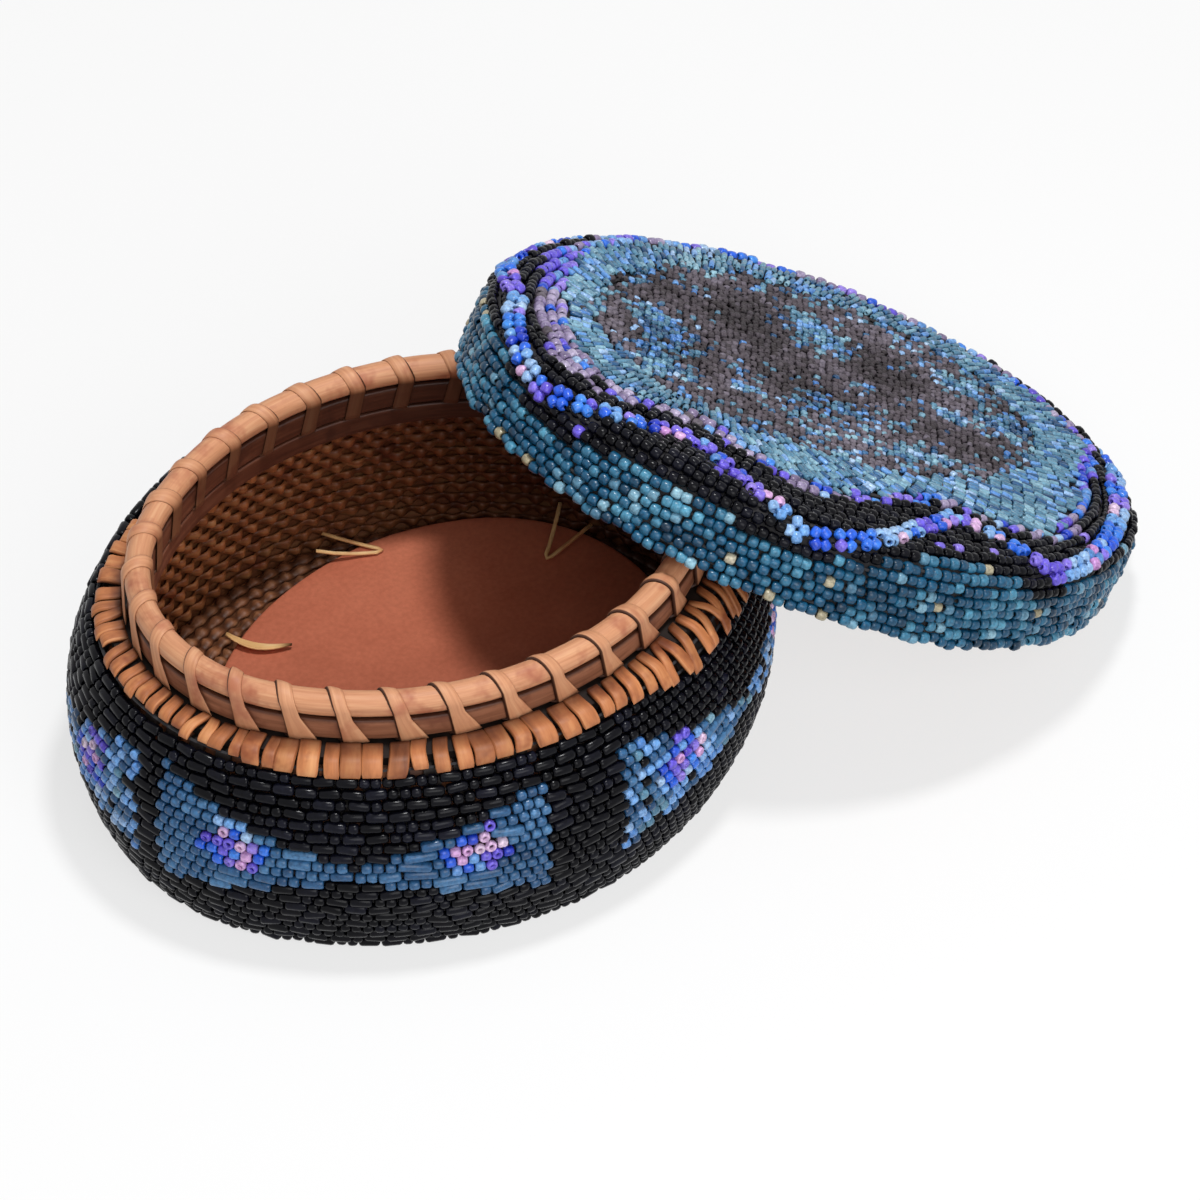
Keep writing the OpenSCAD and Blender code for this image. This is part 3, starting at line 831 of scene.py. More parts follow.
def make_floor_weave():
    """Woven floor that shows beside the liner, with a skin of painted shade under it."""
    low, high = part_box("floor_weave")
    outer = high.x - HALF_L
    z = high.z - 1.15 * MM
    strands = Strands()
    for i in range(FLOOR_ROWS):
        d = outer - 1.3 * MM - i * FLOOR_PITCH
        tone = draw.uniform(0.75, 1.0)
        weave_row(strands, d, z, (0, 0.25 * MM), (1.45 * MM, 0.8 * MM), None, i * math.pi, tone)
    painted_shade_skin(strands, rounded(44 * MM, 0.3 * MM, 0.1 * MM, 2) + [outer - 22.1 * MM, low.z + 0.2 * MM])
    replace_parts(strands.piece("floor_weave_cane", CANE["floor"], "weave", "box"), "floor_weave")


def make_liner():
    """Loose panel on the floor: eased edge, slight waves, laid a little askew."""
    low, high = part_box("floor_liner")
    thick = high.z - low.z
    share = around(LINER_STEPS)
    x, y = oval_point(normal_angle(share, -LINER_INSET), -LINER_INSET)
    edge = np.stack([x, y], 1)
    edge *= 1 + smooth_noise(share, (2, 3, 5, 9), 0.006)[:, None] - 0.006
    c, s = math.cos(LINER_TURN), math.sin(LINER_TURN)
    edge = edge @ np.array([[c, s], [-s, c]])
    top = np.concatenate([[0.001, 0.004], np.linspace(0.06, 0.985, 15)])
    scale = np.concatenate([top, [0.995, 1.0, 1.0, 0.995, 0.9, 0.001]])
    drop = np.concatenate([np.zeros(len(top)), [0.08, 0.3, 0.75, 1, 1, 1]]) * thick
    flat = edge[:, None, :] * scale[None, :, None]
    wave = 0.1 * MM * (np.sin(flat[..., 0] / (9 * MM)) + np.sin(flat[..., 1] / (7 * MM) + 1)) - 0.2 * MM
    z = high.z - drop[None, :] + np.where(drop[None, :] < thick, wave, 0)
    grid = np.stack([flat[..., 0] + LINER_SHIFT, flat[..., 1], z], -1)
    strands = Strands()
    strands.tube(grid, ring_length(-LINER_INSET), SKIN_GIRTH, 1.0, True)
    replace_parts(strands.piece("floor_liner_panel", liner_material(), "liner", "box"), "floor_liner")


def make_lid_weave():
    low, high = lid_box("lid_side_weave")
    strands = Strands()
    d = high[0] - HALF_L - 0.6 * MM
    for i, w in enumerate(np.linspace(low[2] + ROW_EDGE, high[2] - ROW_EDGE, LID_SIDE_ROWS)):
        weave_row(strands, d, w, (-0.15 * MM, 0), (0.42 * MM, 1.15 * MM), to_lid, i * math.pi, 0.8)
    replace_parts(strands.piece("lid_side_cane", CANE["weave"], "weave", "lid"), "lid_side_weave")


def make_lid_panel():
    """Underside of the lid's top: cane coils laid in shrinking ovals."""
    low, high = lid_box("lid_top_panel")
    thick = high[2] - low[2]
    turn = full_turn(8)
    strands = Strands()
    d = high[0] - HALF_L - COIL_PITCH / 2
    while SIDE_R + d - OVAL_C > COIL_PITCH / 3:
        stations = max(24, int(ring_length(d) / COIL_STEP))
        angle = normal_angle(around(stations), d)
        ribs = 1 + 0.06 * np.sin(np.arange(stations) * math.pi / 2 + draw.random())
        out = d + ribs[:, None] * COIL_PITCH * 0.49 * np.cos(turn)[None, :]
        x, y = oval_point(angle[:, None], np.maximum(out, OVAL_C - SIDE_R + 0.1 * MM))
        w = (low[2] + high[2]) / 2 + ribs[:, None] * thick * 0.47 * np.sin(turn)[None, :]
        grid = np.stack([x, y, np.broadcast_to(w, x.shape)], -1)
        strands.tube(to_lid(grid), ring_length(d), WEAVER_GIRTH, draw.uniform(0.6, 0.95), True)
        d -= COIL_PITCH
    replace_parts(strands.piece("lid_panel_cane", CANE["weave"], "weave", "lid"), "lid_top_panel")


# Loose weaver tips
BLADE_LENGTH = 14 * MM
# Shade along the blade: black at its apex as a painted shadow, darker again at its last stations
BLADE_SHADES = np.array([0, 0.5, 1, 1, 1, 1, 1, 0.8, 0.6])
# A bent end from its root to its bend: share of the length and step aside in millimetres
TIP_BEND = ((1.1, 3.6), (0.8, 2.7), (0.5, 1.8), (0.25, 1.05), (0.08, 0.6), (0.0, 0.0))
# Its legs before and after the bend: rise in millimetres and factor on the step aside
TIP_LEGS = ((2.6, 1.5, TIP_BEND), (0.8, -0.7, TIP_BEND[-2::-1]))


def blade_tip(strands, apex, outward, onward, upward):
    rows = []
    for p in np.linspace(0, 1, len(BLADE_SHADES)):
        broad = 2.6 * MM * math.sin(math.pi * (0.06 + 0.8 * p)) ** 0.8 + 0.1 * MM
        outline = rounded(broad, 0.5 * MM, 0.2 * MM)
        rise = (0.75 - 0.5 * p) * MM + 1.6 * MM * p**3
        aside = onward * 1.6 * MM * math.sin(math.pi * p)
        base = apex + outward * BLADE_LENGTH * p + aside + upward * rise
        rows.append(base + onward * outline[:, :1] + upward * (outline[:, 1:] + 0.3 * outline[:, :1]))
    strands.tube(np.array(rows), BLADE_LENGTH, 6 * MM, BLADE_SHADES[:, None])


def bent_tip(strands, apex, outward, onward, upward):
    places = []
    for rise, spread, leg in TIP_LEGS:
        for p, q in leg:
            height = 0.5 * MM + rise * MM * p * p
            places.append(apex + outward * TIP_LENGTH * p + onward * (spread * q) * MM + upward * height)
    places = np.array(places)
    heads = with_unit_rows(np.gradient(places, axis=0))
    outline = rounded(0.9 * MM, 0.65 * MM, 0.3 * MM)
    rows = []
    for place, head in zip(places, heads):
        aside = np.cross(upward, head)
        aside /= np.linalg.norm(aside)
        rows.append(place + aside * outline[:, :1] + np.cross(head, aside) * outline[:, 1:])
    strands.tube(np.array(rows), 2 * TIP_LENGTH, 4 * MM, draw.uniform(0.7, 0.9))


def make_tips():
    """Cane ends that stand out of the weave: two bent back on themselves, one pointed like a blade."""
    strands = Strands()
    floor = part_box("weaver_ends")[0].z
    for (heading, d, root), tip in zip(TIPS, (bent_tip, bent_tip, blade_tip)):
        x, y = oval_point(math.radians(heading), d)
        outward, onward, upward = directions(math.radians(root))
        tip(strands, np.array([x, y, floor]) - outward * TIP_LENGTH, outward, onward, upward)
    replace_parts(strands.piece("weaver_tip_cane", CANE["tip"], "rattan_pale", "box"), "weaver_ends")


# Beads

def bead_template(profile, segments):
    """Parts of one bead for its length, its end, its width and its depth, and its faces."""
    profile = np.array(profile)
    turn = full_turn(segments)
    half = np.repeat(profile[:, 0] / 2, segments)
    end = np.repeat(-profile[:, 0] * profile[:, 1], segments)
    wide = (profile[:, 2:] * np.cos(turn)).ravel()
    deep = (profile[:, 2:] * np.sin(turn)).ravel()
    index = np.arange(len(half)).reshape(len(profile), segments)
    after = np.roll(index, -1, 0)
    quads = np.stack([index, after, np.roll(after, -1, 1), np.roll(index, -1, 1)], -1)
    return half, end, wide, deep, quads.reshape(-1, 4)


# Side of the bead, distance in from its end and radius, both in diameters, with the hole last
BEAD_PROFILE = (
    (-1, 0, 0.28),
    (-1, 0.09, 0.43),
    (-1, 0.27, 0.5),
    (1, 0.27, 0.5),
    (1, 0.09, 0.43),
    (1, 0, 0.28),
    (0, 0, 0.17),
)
FINE_PROFILE = ((-1, 0, 0.26), (-1, 0.2, 0.48), (1, 0.2, 0.48), (1, 0, 0.26), (0, 0, 0.15))
BEAD_SHAPE = bead_template(BEAD_PROFILE, 10)
FINE_SHAPE = bead_template(FINE_PROFILE, 7)
BEAD_SLOT = {
    "black": "beads_black",
    "aqua": "beads_aqua",
    "pearl": "beads_aqua",
    "mauve": "beads_aqua",
    "taupe": "beads_taupe",
    "cream": "beads_taupe",
}
THREAD_OUTLINE = rounded(0.7 * MM, 0.7 * MM, 0.35 * MM, 2)
THREAD_GIRTH = 2 * MM
# Unevenness of strung beads: how they tilt, how sizes differ, and how far they stray
BEAD_TILT = 0.07
BEAD_SPREAD = 0.04
BEAD_STRAY = 0.07 * MM


class Beads:
    """Beads of one body, kept by colour until each colour becomes a piece."""

    def __init__(self, body):
        self.body = body
        self.kept = {}

    def add(self, colour, centre, tangent, normal, length, size, tone):
        self.kept.setdefault(colour, []).append((centre, tangent, normal, length, size, tone))

    def pieces(self, prefix):
        made = {}
        for colour in sorted(self.kept):
            spots = self.kept[colour]
            centre, tangent, normal, length, size, tones = (np.array(part) for part in zip(*spots))
            n = len(spots)
            tangent = with_unit_rows(tangent + draw.normal(0, BEAD_TILT, (n, 3)))
            side = with_unit_rows(np.cross(normal, tangent))
            up = np.cross(tangent, side)
            size = size * (1 + draw.normal(0, BEAD_SPREAD, n))
            centre = centre + draw.normal(0, BEAD_STRAY, (n, 3))
            half, end, wide, deep, quads = FINE_SHAPE if colour.endswith("fine") else BEAD_SHAPE
            run = half[None] * length[:, None] + end[None] * size[:, None]
            points = centre[:, None] + tangent[:, None] * run[..., None]
            points = points + side[:, None] * (wide[None] * size[:, None])[..., None]
            points = points + up[:, None] * (deep[None] * size[:, None])[..., None]
            step = np.arange(n)[:, None, None] * len(half)
            name = f"{prefix}_{colour}"
            mesh = bpy.data.meshes.new(name)
            faces = (quads[None] + step).reshape(-1, 4)
            mesh.from_pydata(points.reshape(-1, 3).tolist(), [], faces.tolist())
            set_tones(mesh, np.repeat(tones, len(half)))
            glass_name = colour.split("_")[0]
            slot = BEAD_SLOT.get(glass_name, "beads_teal")
            made[colour] = finished(name, mesh, GLASS[glass_name], slot, self.body)
        return made


class Tones:
    """A shade for each bead, drawn in part for its group and in part for itself."""

    def __init__(self, seed):
        self.source = np.random.default_rng(seed)
        self.groups = {}

    def of(self, key):
        if key not in self.groups:
            self.groups[key] = self.source.random()
        return 0.6 * self.groups[key] + 0.4 * self.source.random()


# Motifs round the wall: middle and half length along the oval from its first join, and whether it is pale,
# painted lighter as highlight
MOTIFS = (
    (294.5 * MM, 38.5 * MM, False),
    (388.5 * MM, 38.5 * MM, True),
    (66 * MM, 31 * MM, False),
    (133 * MM, 31 * MM, False),
    (211 * MM, 39 * MM, True),
)
EYE = ("cobalt", "cobalt", "cobalt", "violet", "violet", "sky", "pearl", "pearl")
BROW = ("violet", "sky", "teal")
# Pale motifs: the teal beads shown lighter, mixed with sky and aqua, as painted highlight
PALE_MIX = ("sky", "sky", "sky", "sky", "teal", "teal", "teal", "aqua", "black")
# Heights of a motif in millimetres: upper and lower edge at its middle, and how much they spread to its ends
MOTIF_TOP = (27.5, 15.5)
MOTIF_BOTTOM = (24.5, 10)
# An eye sits this share of the half length from the middle: its height and half sizes, and its brow above
EYE_AT = 0.6
EYE_Z = 29 * MM
EYE_HALF = (7 * MM, 4.6 * MM)
BROW_Z = 35 * MM
BROW_HALF = 1.3 * MM
# Round black beads lie from the first of these lengths along the oval, past its start, to the second
ROUND_BEADS = (352 * MM, 60 * MM)
# Gap between beads as a share of a step, and how close a row may come under the stake ends
STRING_GAP = 0.07
FOLD_CLEAR = 0.3 * MM
# Share of pearl and violet beads that stand on end, and how far they stand out
ON_END = 0.6
ON_END_RISE = 0.3 * MM


def motif_away(s, middle):
    """Distance along the oval from the middle of a motif, the short way round."""
    length = ring_length(0.0)
    return abs((s - middle + length / 2) % length - length / 2)


def motif_colour(s, z, lottery):
    """Colour of the wall's beads: bow-tie bands of teal on black, with a bright eye in each half."""
    for middle, half, pale in MOTIFS:
        away = motif_away(s, middle)
        t = away / half
        top = (MOTIF_TOP[0] + MOTIF_TOP[1] * t) * MM
        bottom = (MOTIF_BOTTOM[0] - MOTIF_BOTTOM[1] * t) * MM
        if t > 1 or not bottom < z < top:
            continue
        across = (away - EYE_AT * half) / EYE_HALF[0]
        up = (z - EYE_Z) / EYE_HALF[1]
        if across**2 + up**2 < 1:
            return lottery.choice(EYE)
        if abs(across) < 0.9 and abs(z - BROW_Z) < BROW_HALF:
            return lottery.choice(BROW)
        return lottery.choice(PALE_MIX) if pale else "teal"
    return "black"


def longest_bead(colour, s):
    """How many steps a bead may span: tubes on the ground and in the middle of a motif, round ones else."""
    if colour == "black":
        return 1 if s > ROUND_BEADS[0] or s < ROUND_BEADS[1] else 2
    if colour == "teal" and any(motif_away(s, middle) < 0.72 * half for middle, half, _ in MOTIFS):
        return 3
    return 1


def bead_runs(colours, places, lottery):
    """First step, number of steps and colour of each bead along a row."""
    k = 0
    while k < len(colours):
        colour = colours[k]
        most = longest_bead(colour, places[k] * ring_length(0.0))
        same = 1
        while same < most and k + same < len(colours) and colours[k + same] == colour:
            same += 1
        span = int(lottery.integers(1, same + 1))
        yield k, span, colour
        k += span


def make_body_beads():
    first = math.asin((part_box("foot_beads")[0].z + BEAD / 2 - ARC_Z) / ARC_BEAD)
    last = math.asin((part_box("shoulder_beads")[1].z - BEAD / 2 - ARC_Z) / ARC_BEAD)
    rows = 1 + int((last - first) * ARC_BEAD / ROW_PITCH)
    count = 4 * round(ring_length(BELLY * 0.6) / BEAD_PITCH / 4)
    girth = ring_length(0.0)
    edge = math.asin((SHOULDER_Z - ARC_Z) / ARC_R)
    beads = Beads("box")
    threads = Strands()
    tones = Tones(5)
    lottery = np.random.default_rng(21)
    for i in range(rows):
        lean = first + (last - first) * i / (rows - 1)
        d = ARC_D + ARC_BEAD * math.cos(lean)
        z = ARC_Z + ARC_BEAD * math.sin(lean)
        zone = "foot" if i < rows / 3 else "top" if i >= rows * 2 / 3 else "mid"
        places = (np.arange(count) + 0.5 * (i % 2)) / count
        upper = (edge - lean) * ARC_R - BEAD / 2
        colours = [motif_colour(p * girth, z, lottery) for p in places]
        for k, span, colour in bead_runs(colours, places, lottery):
            angle = float(normal_angle(places[k] + (span - 1) / 2 / count, 0.0))
            if upper < fold_lap(angle) - FOLD_CLEAR:
                continue
            outward, onward, upward = directions(angle)
            x, y = oval_point(angle, d)
            centre = np.array([x, y, z])
            normal = outward * math.cos(lean) + upward * math.sin(lean)
            radius = END_R if abs(math.cos(angle)) >= abs(math.sin(angle)) else SIDE_R
            length = (radius + d) / radius * girth / count * (span - STRING_GAP)
            tone = tones.of((i // 2, k // 2))
            key = f"black_{zone}" if colour == "black" else colour
            if colour in ("pearl", "violet") and lottery.random() < ON_END:
                centre = centre + normal * ON_END_RISE
                beads.add(key, centre, normal, onward, 0.7 * BEAD, 1.04 * BEAD, tone)
            else:
                beads.add(key, centre, onward, normal, length, BEAD, tone)
        ring = ring_grid(around(THREAD_STEPS), d, z, THREAD_OUTLINE)
        threads.tube(ring, 1.0, THREAD_GIRTH, 0.5, True)
    made = beads.pieces("body_beads")
    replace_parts(made["black_foot"], "foot_beads")
    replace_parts(made["teal"], "motif_beads")
    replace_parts(made["black_top"], "shoulder_beads")
    threads.piece("body_bead_threads", thread_material(), "beads_black", "box")


# Lid pattern, by the path from the lid's edge, up its side and in over its top
CHAIN_PITCH = 5.5 * MM
CHAIN_BEAD = 2.35 * MM
CHAIN_ROOM = 2.05 * MM
# The chain's beads stand out from the rows beside them
CHAIN_RISE = 0.4 * MM
CHAIN_STEPS = 1600
# Beside the chain, where no whole bead fits, smaller black ones fill the row
CHAIN_EDGE = 1.3 * MM
SMALL_BEAD = 1.7 * MM
# Least distance from the rim rod's face, and from the table, to the middle of a bead on the lower edge
EDGE_ROOM = 2.4 * MM
EDGE_HEIGHT = 0.6 * BEAD
# How far the scallops pull the lower rows up, and over how much path that fades
SCALLOP = 1.1 * MM
SCALLOP_FADE = 9 * MM
STRUNG_TO = 50 * MM
FRINGE = ("cobalt", "violet", "violet", "sky", "mauve")
LEFT_FRINGE = ("mauve", "mauve", "mauve", "taupe", "black")
# The left fringe lies where the cosine of the normal angle is less than this
LEFT_END = -0.7
# Share of violet beads strewn in the black band as painted glints
STREWN_GLINTS = 0.02
# Pale strings fan out from a place on the lid's top in so many rings
FAN_FROM = (-28 * MM, 4 * MM)
FAN_RINGS = 44
STROKE = 2.6 * MM
STROKE_PITCH = 1.5 * MM
FINE_BEAD = 1.6 * MM
FINE_PITCH = 1.65 * MM
FINE_REACH = 70 * MM
FINE_ROW = 0.88
# How far beads cross the edges of the strings and of the middle
STRING_FUZZ = 0.8 * MM
MIDDLE_FUZZ = 1.6 * MM
# Blue patches on the medallion, in millimetres: place and half sizes along the lid's long and short axes
PATCHES = MM * np.array((
    (-40, 4, 7, 9),
    (-31, 20, 7, 10),
    (-20, -2, 5, 3),
    (15, 29, 8, 9),
    (4, -4, 7, 3),
    (46, 17, 7, 5),
    (36, 2, 4, 4),
    (51, 1, 9, 6),
    (15, -19, 12, 3.5),
))
# Turns of the lid's lines: direction in degrees, then millimetres of path to skirt's top, chain, black's end
LID_LINES = np.array((
    (-180, 12.5, 17, 24.5),
    (-168, 8.5, 14.5, 25),
    (-156, 9.5, 19.5, 29),
    (-144, 14, 29, 39),
    (-134, 14, 34, 41.5),
    (-125, 13, 27, 38),
    (-114, 11, 15.5, 34),
    (-105, 14, 19.5, 36),
    (-94, 21, 30, 40),
    (-81, 19, 38, 43),
    (-75, 12.5, 30, 37.5),
    (-71, 10.5, 17.5, 33.5),
    (-62, 15.5, 18.5, 26),
    (-45, 16, 22, 28.5),
    (-20, 13, 22.5, 28.5),
    (0, 11, 15, 20.5),
    (60, 9, 13.5, 18.5),
    (110, 9, 14, 19),
    (135, 11, 16.5, 25),
    (155, 15, 22.5, 27),
)).T
# A few aqua and cream beads strewn in the petrol skirt and along its lower edge are painted highlights
SKIRT_HUES = ["petrol", "aqua", "cream"]
SKIRT_ODDS = [0.91, 0.07, 0.02]
EDGE_ODDS = [0.86, 0.11, 0.03]
CHAIN_HUES = ("violet", "sky", "cobalt", "cobalt", "sky", "violet", "cobalt", "sky", "cobalt", "violet")
CHAIN_MIX = ("violet", "cobalt", "sky", "pearl")
STRING_MIX = ("aqua", "aqua", "aqua", "aqua", "sky", "teal")
PATCH_MIX = ("sky_fine", "aqua_fine", "aqua_fine", "teal_fine")
# Length of a strung bead as a share of its step
STRING_FILL = 0.96
# How far beads on the lid stray, and how far groups of them stand out or in
LID_STRAY = 0.1 * MM
LID_BULGE = 0.2 * MM
# Faces of the dark ground under the lid's beads, in from their middles, in bead widths
GROUND_DEPTH = (0.25, 0.42)
# Share of beads in the hue of their group
MAIN_HUE = 0.75


def lid_lines(angle):
    """Paths of the lines at a normal angle: skirt's top, chain, and ends of black, fringe and strings."""
    heading = math.degrees(angle)
    skirt, chain, black = (np.interp(heading, LID_LINES[0], line, period=360) * MM for line in LID_LINES[1:])
    fringe = black + (3.2 + 5 * max(0.0, -math.cos(angle)) ** 2) * MM
    pale = (42 - 11 * math.sin(angle) - 4 * math.cos(angle)) * MM
    return skirt, chain, black, fringe, max(pale, fringe + 3 * MM)


def lid_zone(angle, path):
    """Part of the lid's pattern at a normal angle and a path."""
    skirt, _, black, fringe, pale = lid_lines(angle)
    for zone, end in (("skirt", skirt), ("black", black), ("fringe", fringe), ("pale", pale)):
        if path < end:
            return zone
    return "middle"


def lid_section(path):
    """Offset, height and lean of a bead's middle at a path: up the side, round the edge, in over the top."""
    if path <= PATH_W:
        return LID_BEAD_D, path, 0.0
    lean = min((path - PATH_W) / LID_EDGE, math.pi / 2)
    inward = max(0.0, path - PATH_W - EDGE_ARC)
    return PATH_D + PATH_R * math.cos(lean) - inward, PATH_W + PATH_R * math.sin(lean), lean


def lid_place(angle, path):
    """Middle of a bead, and the onward and outward directions there."""
    d, w, lean = lid_section(path)
    outward, onward, upward = directions(angle)
    x, y = oval_point(angle, d)
    normal = outward * math.cos(lean) + upward * math.sin(lean)
    return to_lid(np.array([x, y, w])), LID_AXES @ onward, LID_AXES @ normal


def lid_where(u, v):
    """Normal angle and path of a place on the flat of the top."""
    beyond = abs(u) - OVAL_C
    if beyond >= abs(v):
        angle = math.atan2(v, math.copysign(beyond, u))
        d = math.hypot(beyond, v) - END_R
    else:
        deep = math.copysign(abs(v) + OVAL_C, v)
        angle = math.atan2(deep, u)
        d = math.hypot(u, deep) - SIDE_R
    return angle, FLAT_FROM + PATH_D - d


def lid_rows():
    """Paths of the rows: up the side, round the edge, then in over the top."""
    steps = int((PATH_W - LID_ROW0) / ROW_PITCH)
    turns = int(math.pi / 4 / math.asin(ROW_PITCH / 2 / PATH_R))
    rows = [LID_ROW0 + (PATH_W - LID_ROW0) * i / steps for i in range(steps + 1)]
    rows += [PATH_W + EDGE_ARC * i / turns for i in range(1, turns + 1)]
    while rows[-1] < STRUNG_TO:
        rows.append(rows[-1] + ROW_PITCH)
    return rows


def chain_of_clusters(beads, tones, lottery):
    """Zigzag of flower-like clusters of four, whose hue drifts along it. Gives the places of its beads."""
    spots = []
    angles = np.linspace(0, 2 * math.pi, CHAIN_STEPS)
    line = np.array([lid_place(a, lid_lines(a)[1])[0] for a in angles])
    run = np.concatenate([[0], np.cumsum(np.linalg.norm(np.diff(line, axis=0), axis=1))])
    count = round(run[-1] / CHAIN_PITCH)
    hue = 0
    for n in range(count):
        angle = float(np.interp(run[-1] * n / count, run, angles))
        path = lid_lines(angle)[1]
        centre, _, normal = lid_place(angle, path)
        tangent = lid_place(angle + 0.01, lid_lines(angle + 0.01)[1])[0] - centre
        tangent /= np.linalg.norm(tangent)
        side = np.cross(normal, tangent)
        hue += lottery.choice([0, 1, 1])
        for across in (-0.5, 0.5):
            for along in (-0.5, 0.5):
                colour = CHAIN_HUES[hue % len(CHAIN_HUES)]
                if lottery.random() >= MAIN_HUE:
                    colour = lottery.choice(CHAIN_MIX)
                aside = (tangent * along + side * across) * 0.94 * CHAIN_BEAD
                spot = centre + aside + normal * CHAIN_RISE + lottery.normal(0, LID_STRAY, 3)
                spots.append(spot)
                axis = tangent * along + side * across * lottery.choice([-1, 1])
                beads.add(colour, spot, axis, normal, CHAIN_BEAD, CHAIN_BEAD, tones.of(("chain", n)))
    return np.array(spots)


def scallops():
    """How far the lid's lower edge is pulled up, as a function of the share of the way round."""
    ring = around(SCALLOP_STEPS)
    pull = np.clip(0.5 + smooth_noise(ring, (31, 43, 59), 0.9), 0, 1) * SCALLOP
    return lambda share: np.interp(share % 1, ring, pull)


def strung_rows(beads, chain, pulled, tones, lottery):
    """Rows of the side, the rounded edge and the black band, pulled up in scallops at the lower edge."""
    bulge = {}
    hues = {}
    for i, path in enumerate(lid_rows()):
        d = lid_section(path)[0]
        count = max(4, 2 * round(ring_length(d) / BEAD_PITCH / 2))
        loose = max(0.0, 1 - (path - LID_ROW0) / SCALLOP_FADE)
        for k in range(count):
            share = (k + 0.5 * (i % 2) + lottery.normal(0, 0.05)) / count
            cluster = (k + (i // 2) % 2) // 2
            angle = float(normal_angle(share, d))
            zone = lid_zone(angle, path)
            if zone in ("pale", "middle"):
                continue
            lift = loose * pulled(share)
            centre, onward, normal = lid_place(angle, path + lift)
            key = (i // 2, cluster)
            room = np.linalg.norm(chain - centre, axis=1).min()
            if room < CHAIN_ROOM:
                if room > CHAIN_EDGE:
                    spot = centre - normal * CHAIN_RISE
                    beads.add("black", spot, onward, normal, SMALL_BEAD, SMALL_BEAD, tones.of(key))
                continue
            if key not in bulge:
                bulge[key] = lottery.normal(0, LID_BULGE)
                hues[key] = lottery.choice(LEFT_FRINGE if math.cos(angle) < LEFT_END else FRINGE)
            if zone == "fringe":
                colour = hues[key] if lottery.random() < MAIN_HUE else lottery.choice(FRINGE)
            elif zone == "black":
                # Black band, with a few violet beads as painted glints
                colour = "violet" if lottery.random() < STREWN_GLINTS else "black"
            else:
                # Petrol skirt, with a few aqua and cream beads as painted highlights
                colour = lottery.choice(SKIRT_HUES, p=SKIRT_ODDS)
            spot = centre + normal * (bulge[key] - 0.3 * lift) + lottery.normal(0, LID_STRAY, 3)
            length = ring_length(d) / count * STRING_FILL
            beads.add(colour, spot, onward, normal, length, BEAD * lottery.uniform(0.94, 1.08), tones.of(key))


def edge_beads(beads, pulled, tones):
    """Beads sewn along the lid's lower edge to hide its band, clear of the table and of the rim."""
    lottery = np.random.default_rng(41)
    count = round(ring_length(LID_BEAD_D) / BEAD_PITCH)
    rod = ring_grid(around(EDGE_STEPS), ROD_D, ROD_Z, np.zeros((1, 2)))[:, 0]
    for k in range(count):
        angle = float(normal_angle(k / count, LID_BEAD_D))
        path = lottery.normal(-0.1 * MM, 0.15 * MM) + pulled(k / count)
        # Petrol edge, with a few aqua and cream beads as painted highlights
        colour = lottery.choice(SKIRT_HUES, p=EDGE_ODDS)
        centre, onward, normal = lid_place(angle, path)
        centre = centre + normal * lottery.normal(0, LID_BULGE)
        clear_of_rim = np.linalg.norm(rod - centre, axis=1).min() > ROD_R + EDGE_ROOM
        if clear_of_rim and centre[2] > EDGE_HEIGHT:
            length = ring_length(LID_BEAD_D) / count * STRING_FILL
            beads.add(colour, centre, onward, normal, length, BEAD, tones.of(("edge", k // 2)))


def top_bead(beads, colour, u, v, turn, length, size, sunk, tone):
    """A bead on the flat of the top, at a turn from the lid's long axis and sunk a little."""
    spot = to_lid(np.array([u, v, LID_TOP - size / 2 - sunk]))
    axis = LID_AXES @ np.array([math.cos(turn), math.sin(turn), 0])
    beads.add(colour, spot, axis, LID_AXES[:, 2], length, size, tone)


def pale_strings(beads, tones, lottery):
    """Strings of slim pale beads on the top that fan out from one place."""
    for shell in range(FAN_RINGS):
        far = (shell + 0.5) * STROKE
        count = max(6, round(2 * math.pi * far / STROKE_PITCH))
        start = lottery.random()
        for k in range(count):
            turn = 2 * math.pi * (k + start + lottery.normal(0, 0.08)) / count
            reach = far + lottery.normal(0, 0.25 * MM)
            u = FAN_FROM[0] + reach * math.cos(turn)
            v = FAN_FROM[1] + reach * math.sin(turn)
            angle, path = lid_where(u, v)
            if path < FLAT_FROM or lid_zone(angle, path + lottery.normal(0, STRING_FUZZ)) != "pale":
                continue
            size = lottery.uniform(1.15, 1.5) * MM
            colour = lottery.choice(STRING_MIX)
            sunk = lottery.uniform(0, 0.2) * MM
            tone = tones.of(("string", shell // 2, k // 2))
            top_bead(beads, colour, u, v, turn, STROKE * 0.98, size, sunk, tone)


def mottle(u, v, scale, shift):
    """Soft patches on the top, about nought."""
    total = 0.0
    for turn in (0.3, 1.2, 2.1, 2.9):
        along = u * math.cos(turn) + v * math.sin(turn)
        total += math.sin(along / scale + shift * turn * 7) * math.sin(along / (1.7 * scale) + shift)
    return total / 2


def medallion_colour(u, v, depth, lottery):
    share = 0.05 + 0.45 * max(0.0, mottle(u, v, 4 * MM, 1.0)) + max(0.0, 0.5 - depth / (10 * MM))
    for at_u, at_v, half_u, half_v in PATCHES:
        near = ((u - at_u) / half_u) ** 2 + ((v - at_v) / half_v) ** 2
        share = max(share, 1.1 - 0.6 * near)
    if lottery.random() < share:
        return lottery.choice(PATCH_MIX)
    return "taupe_fine"


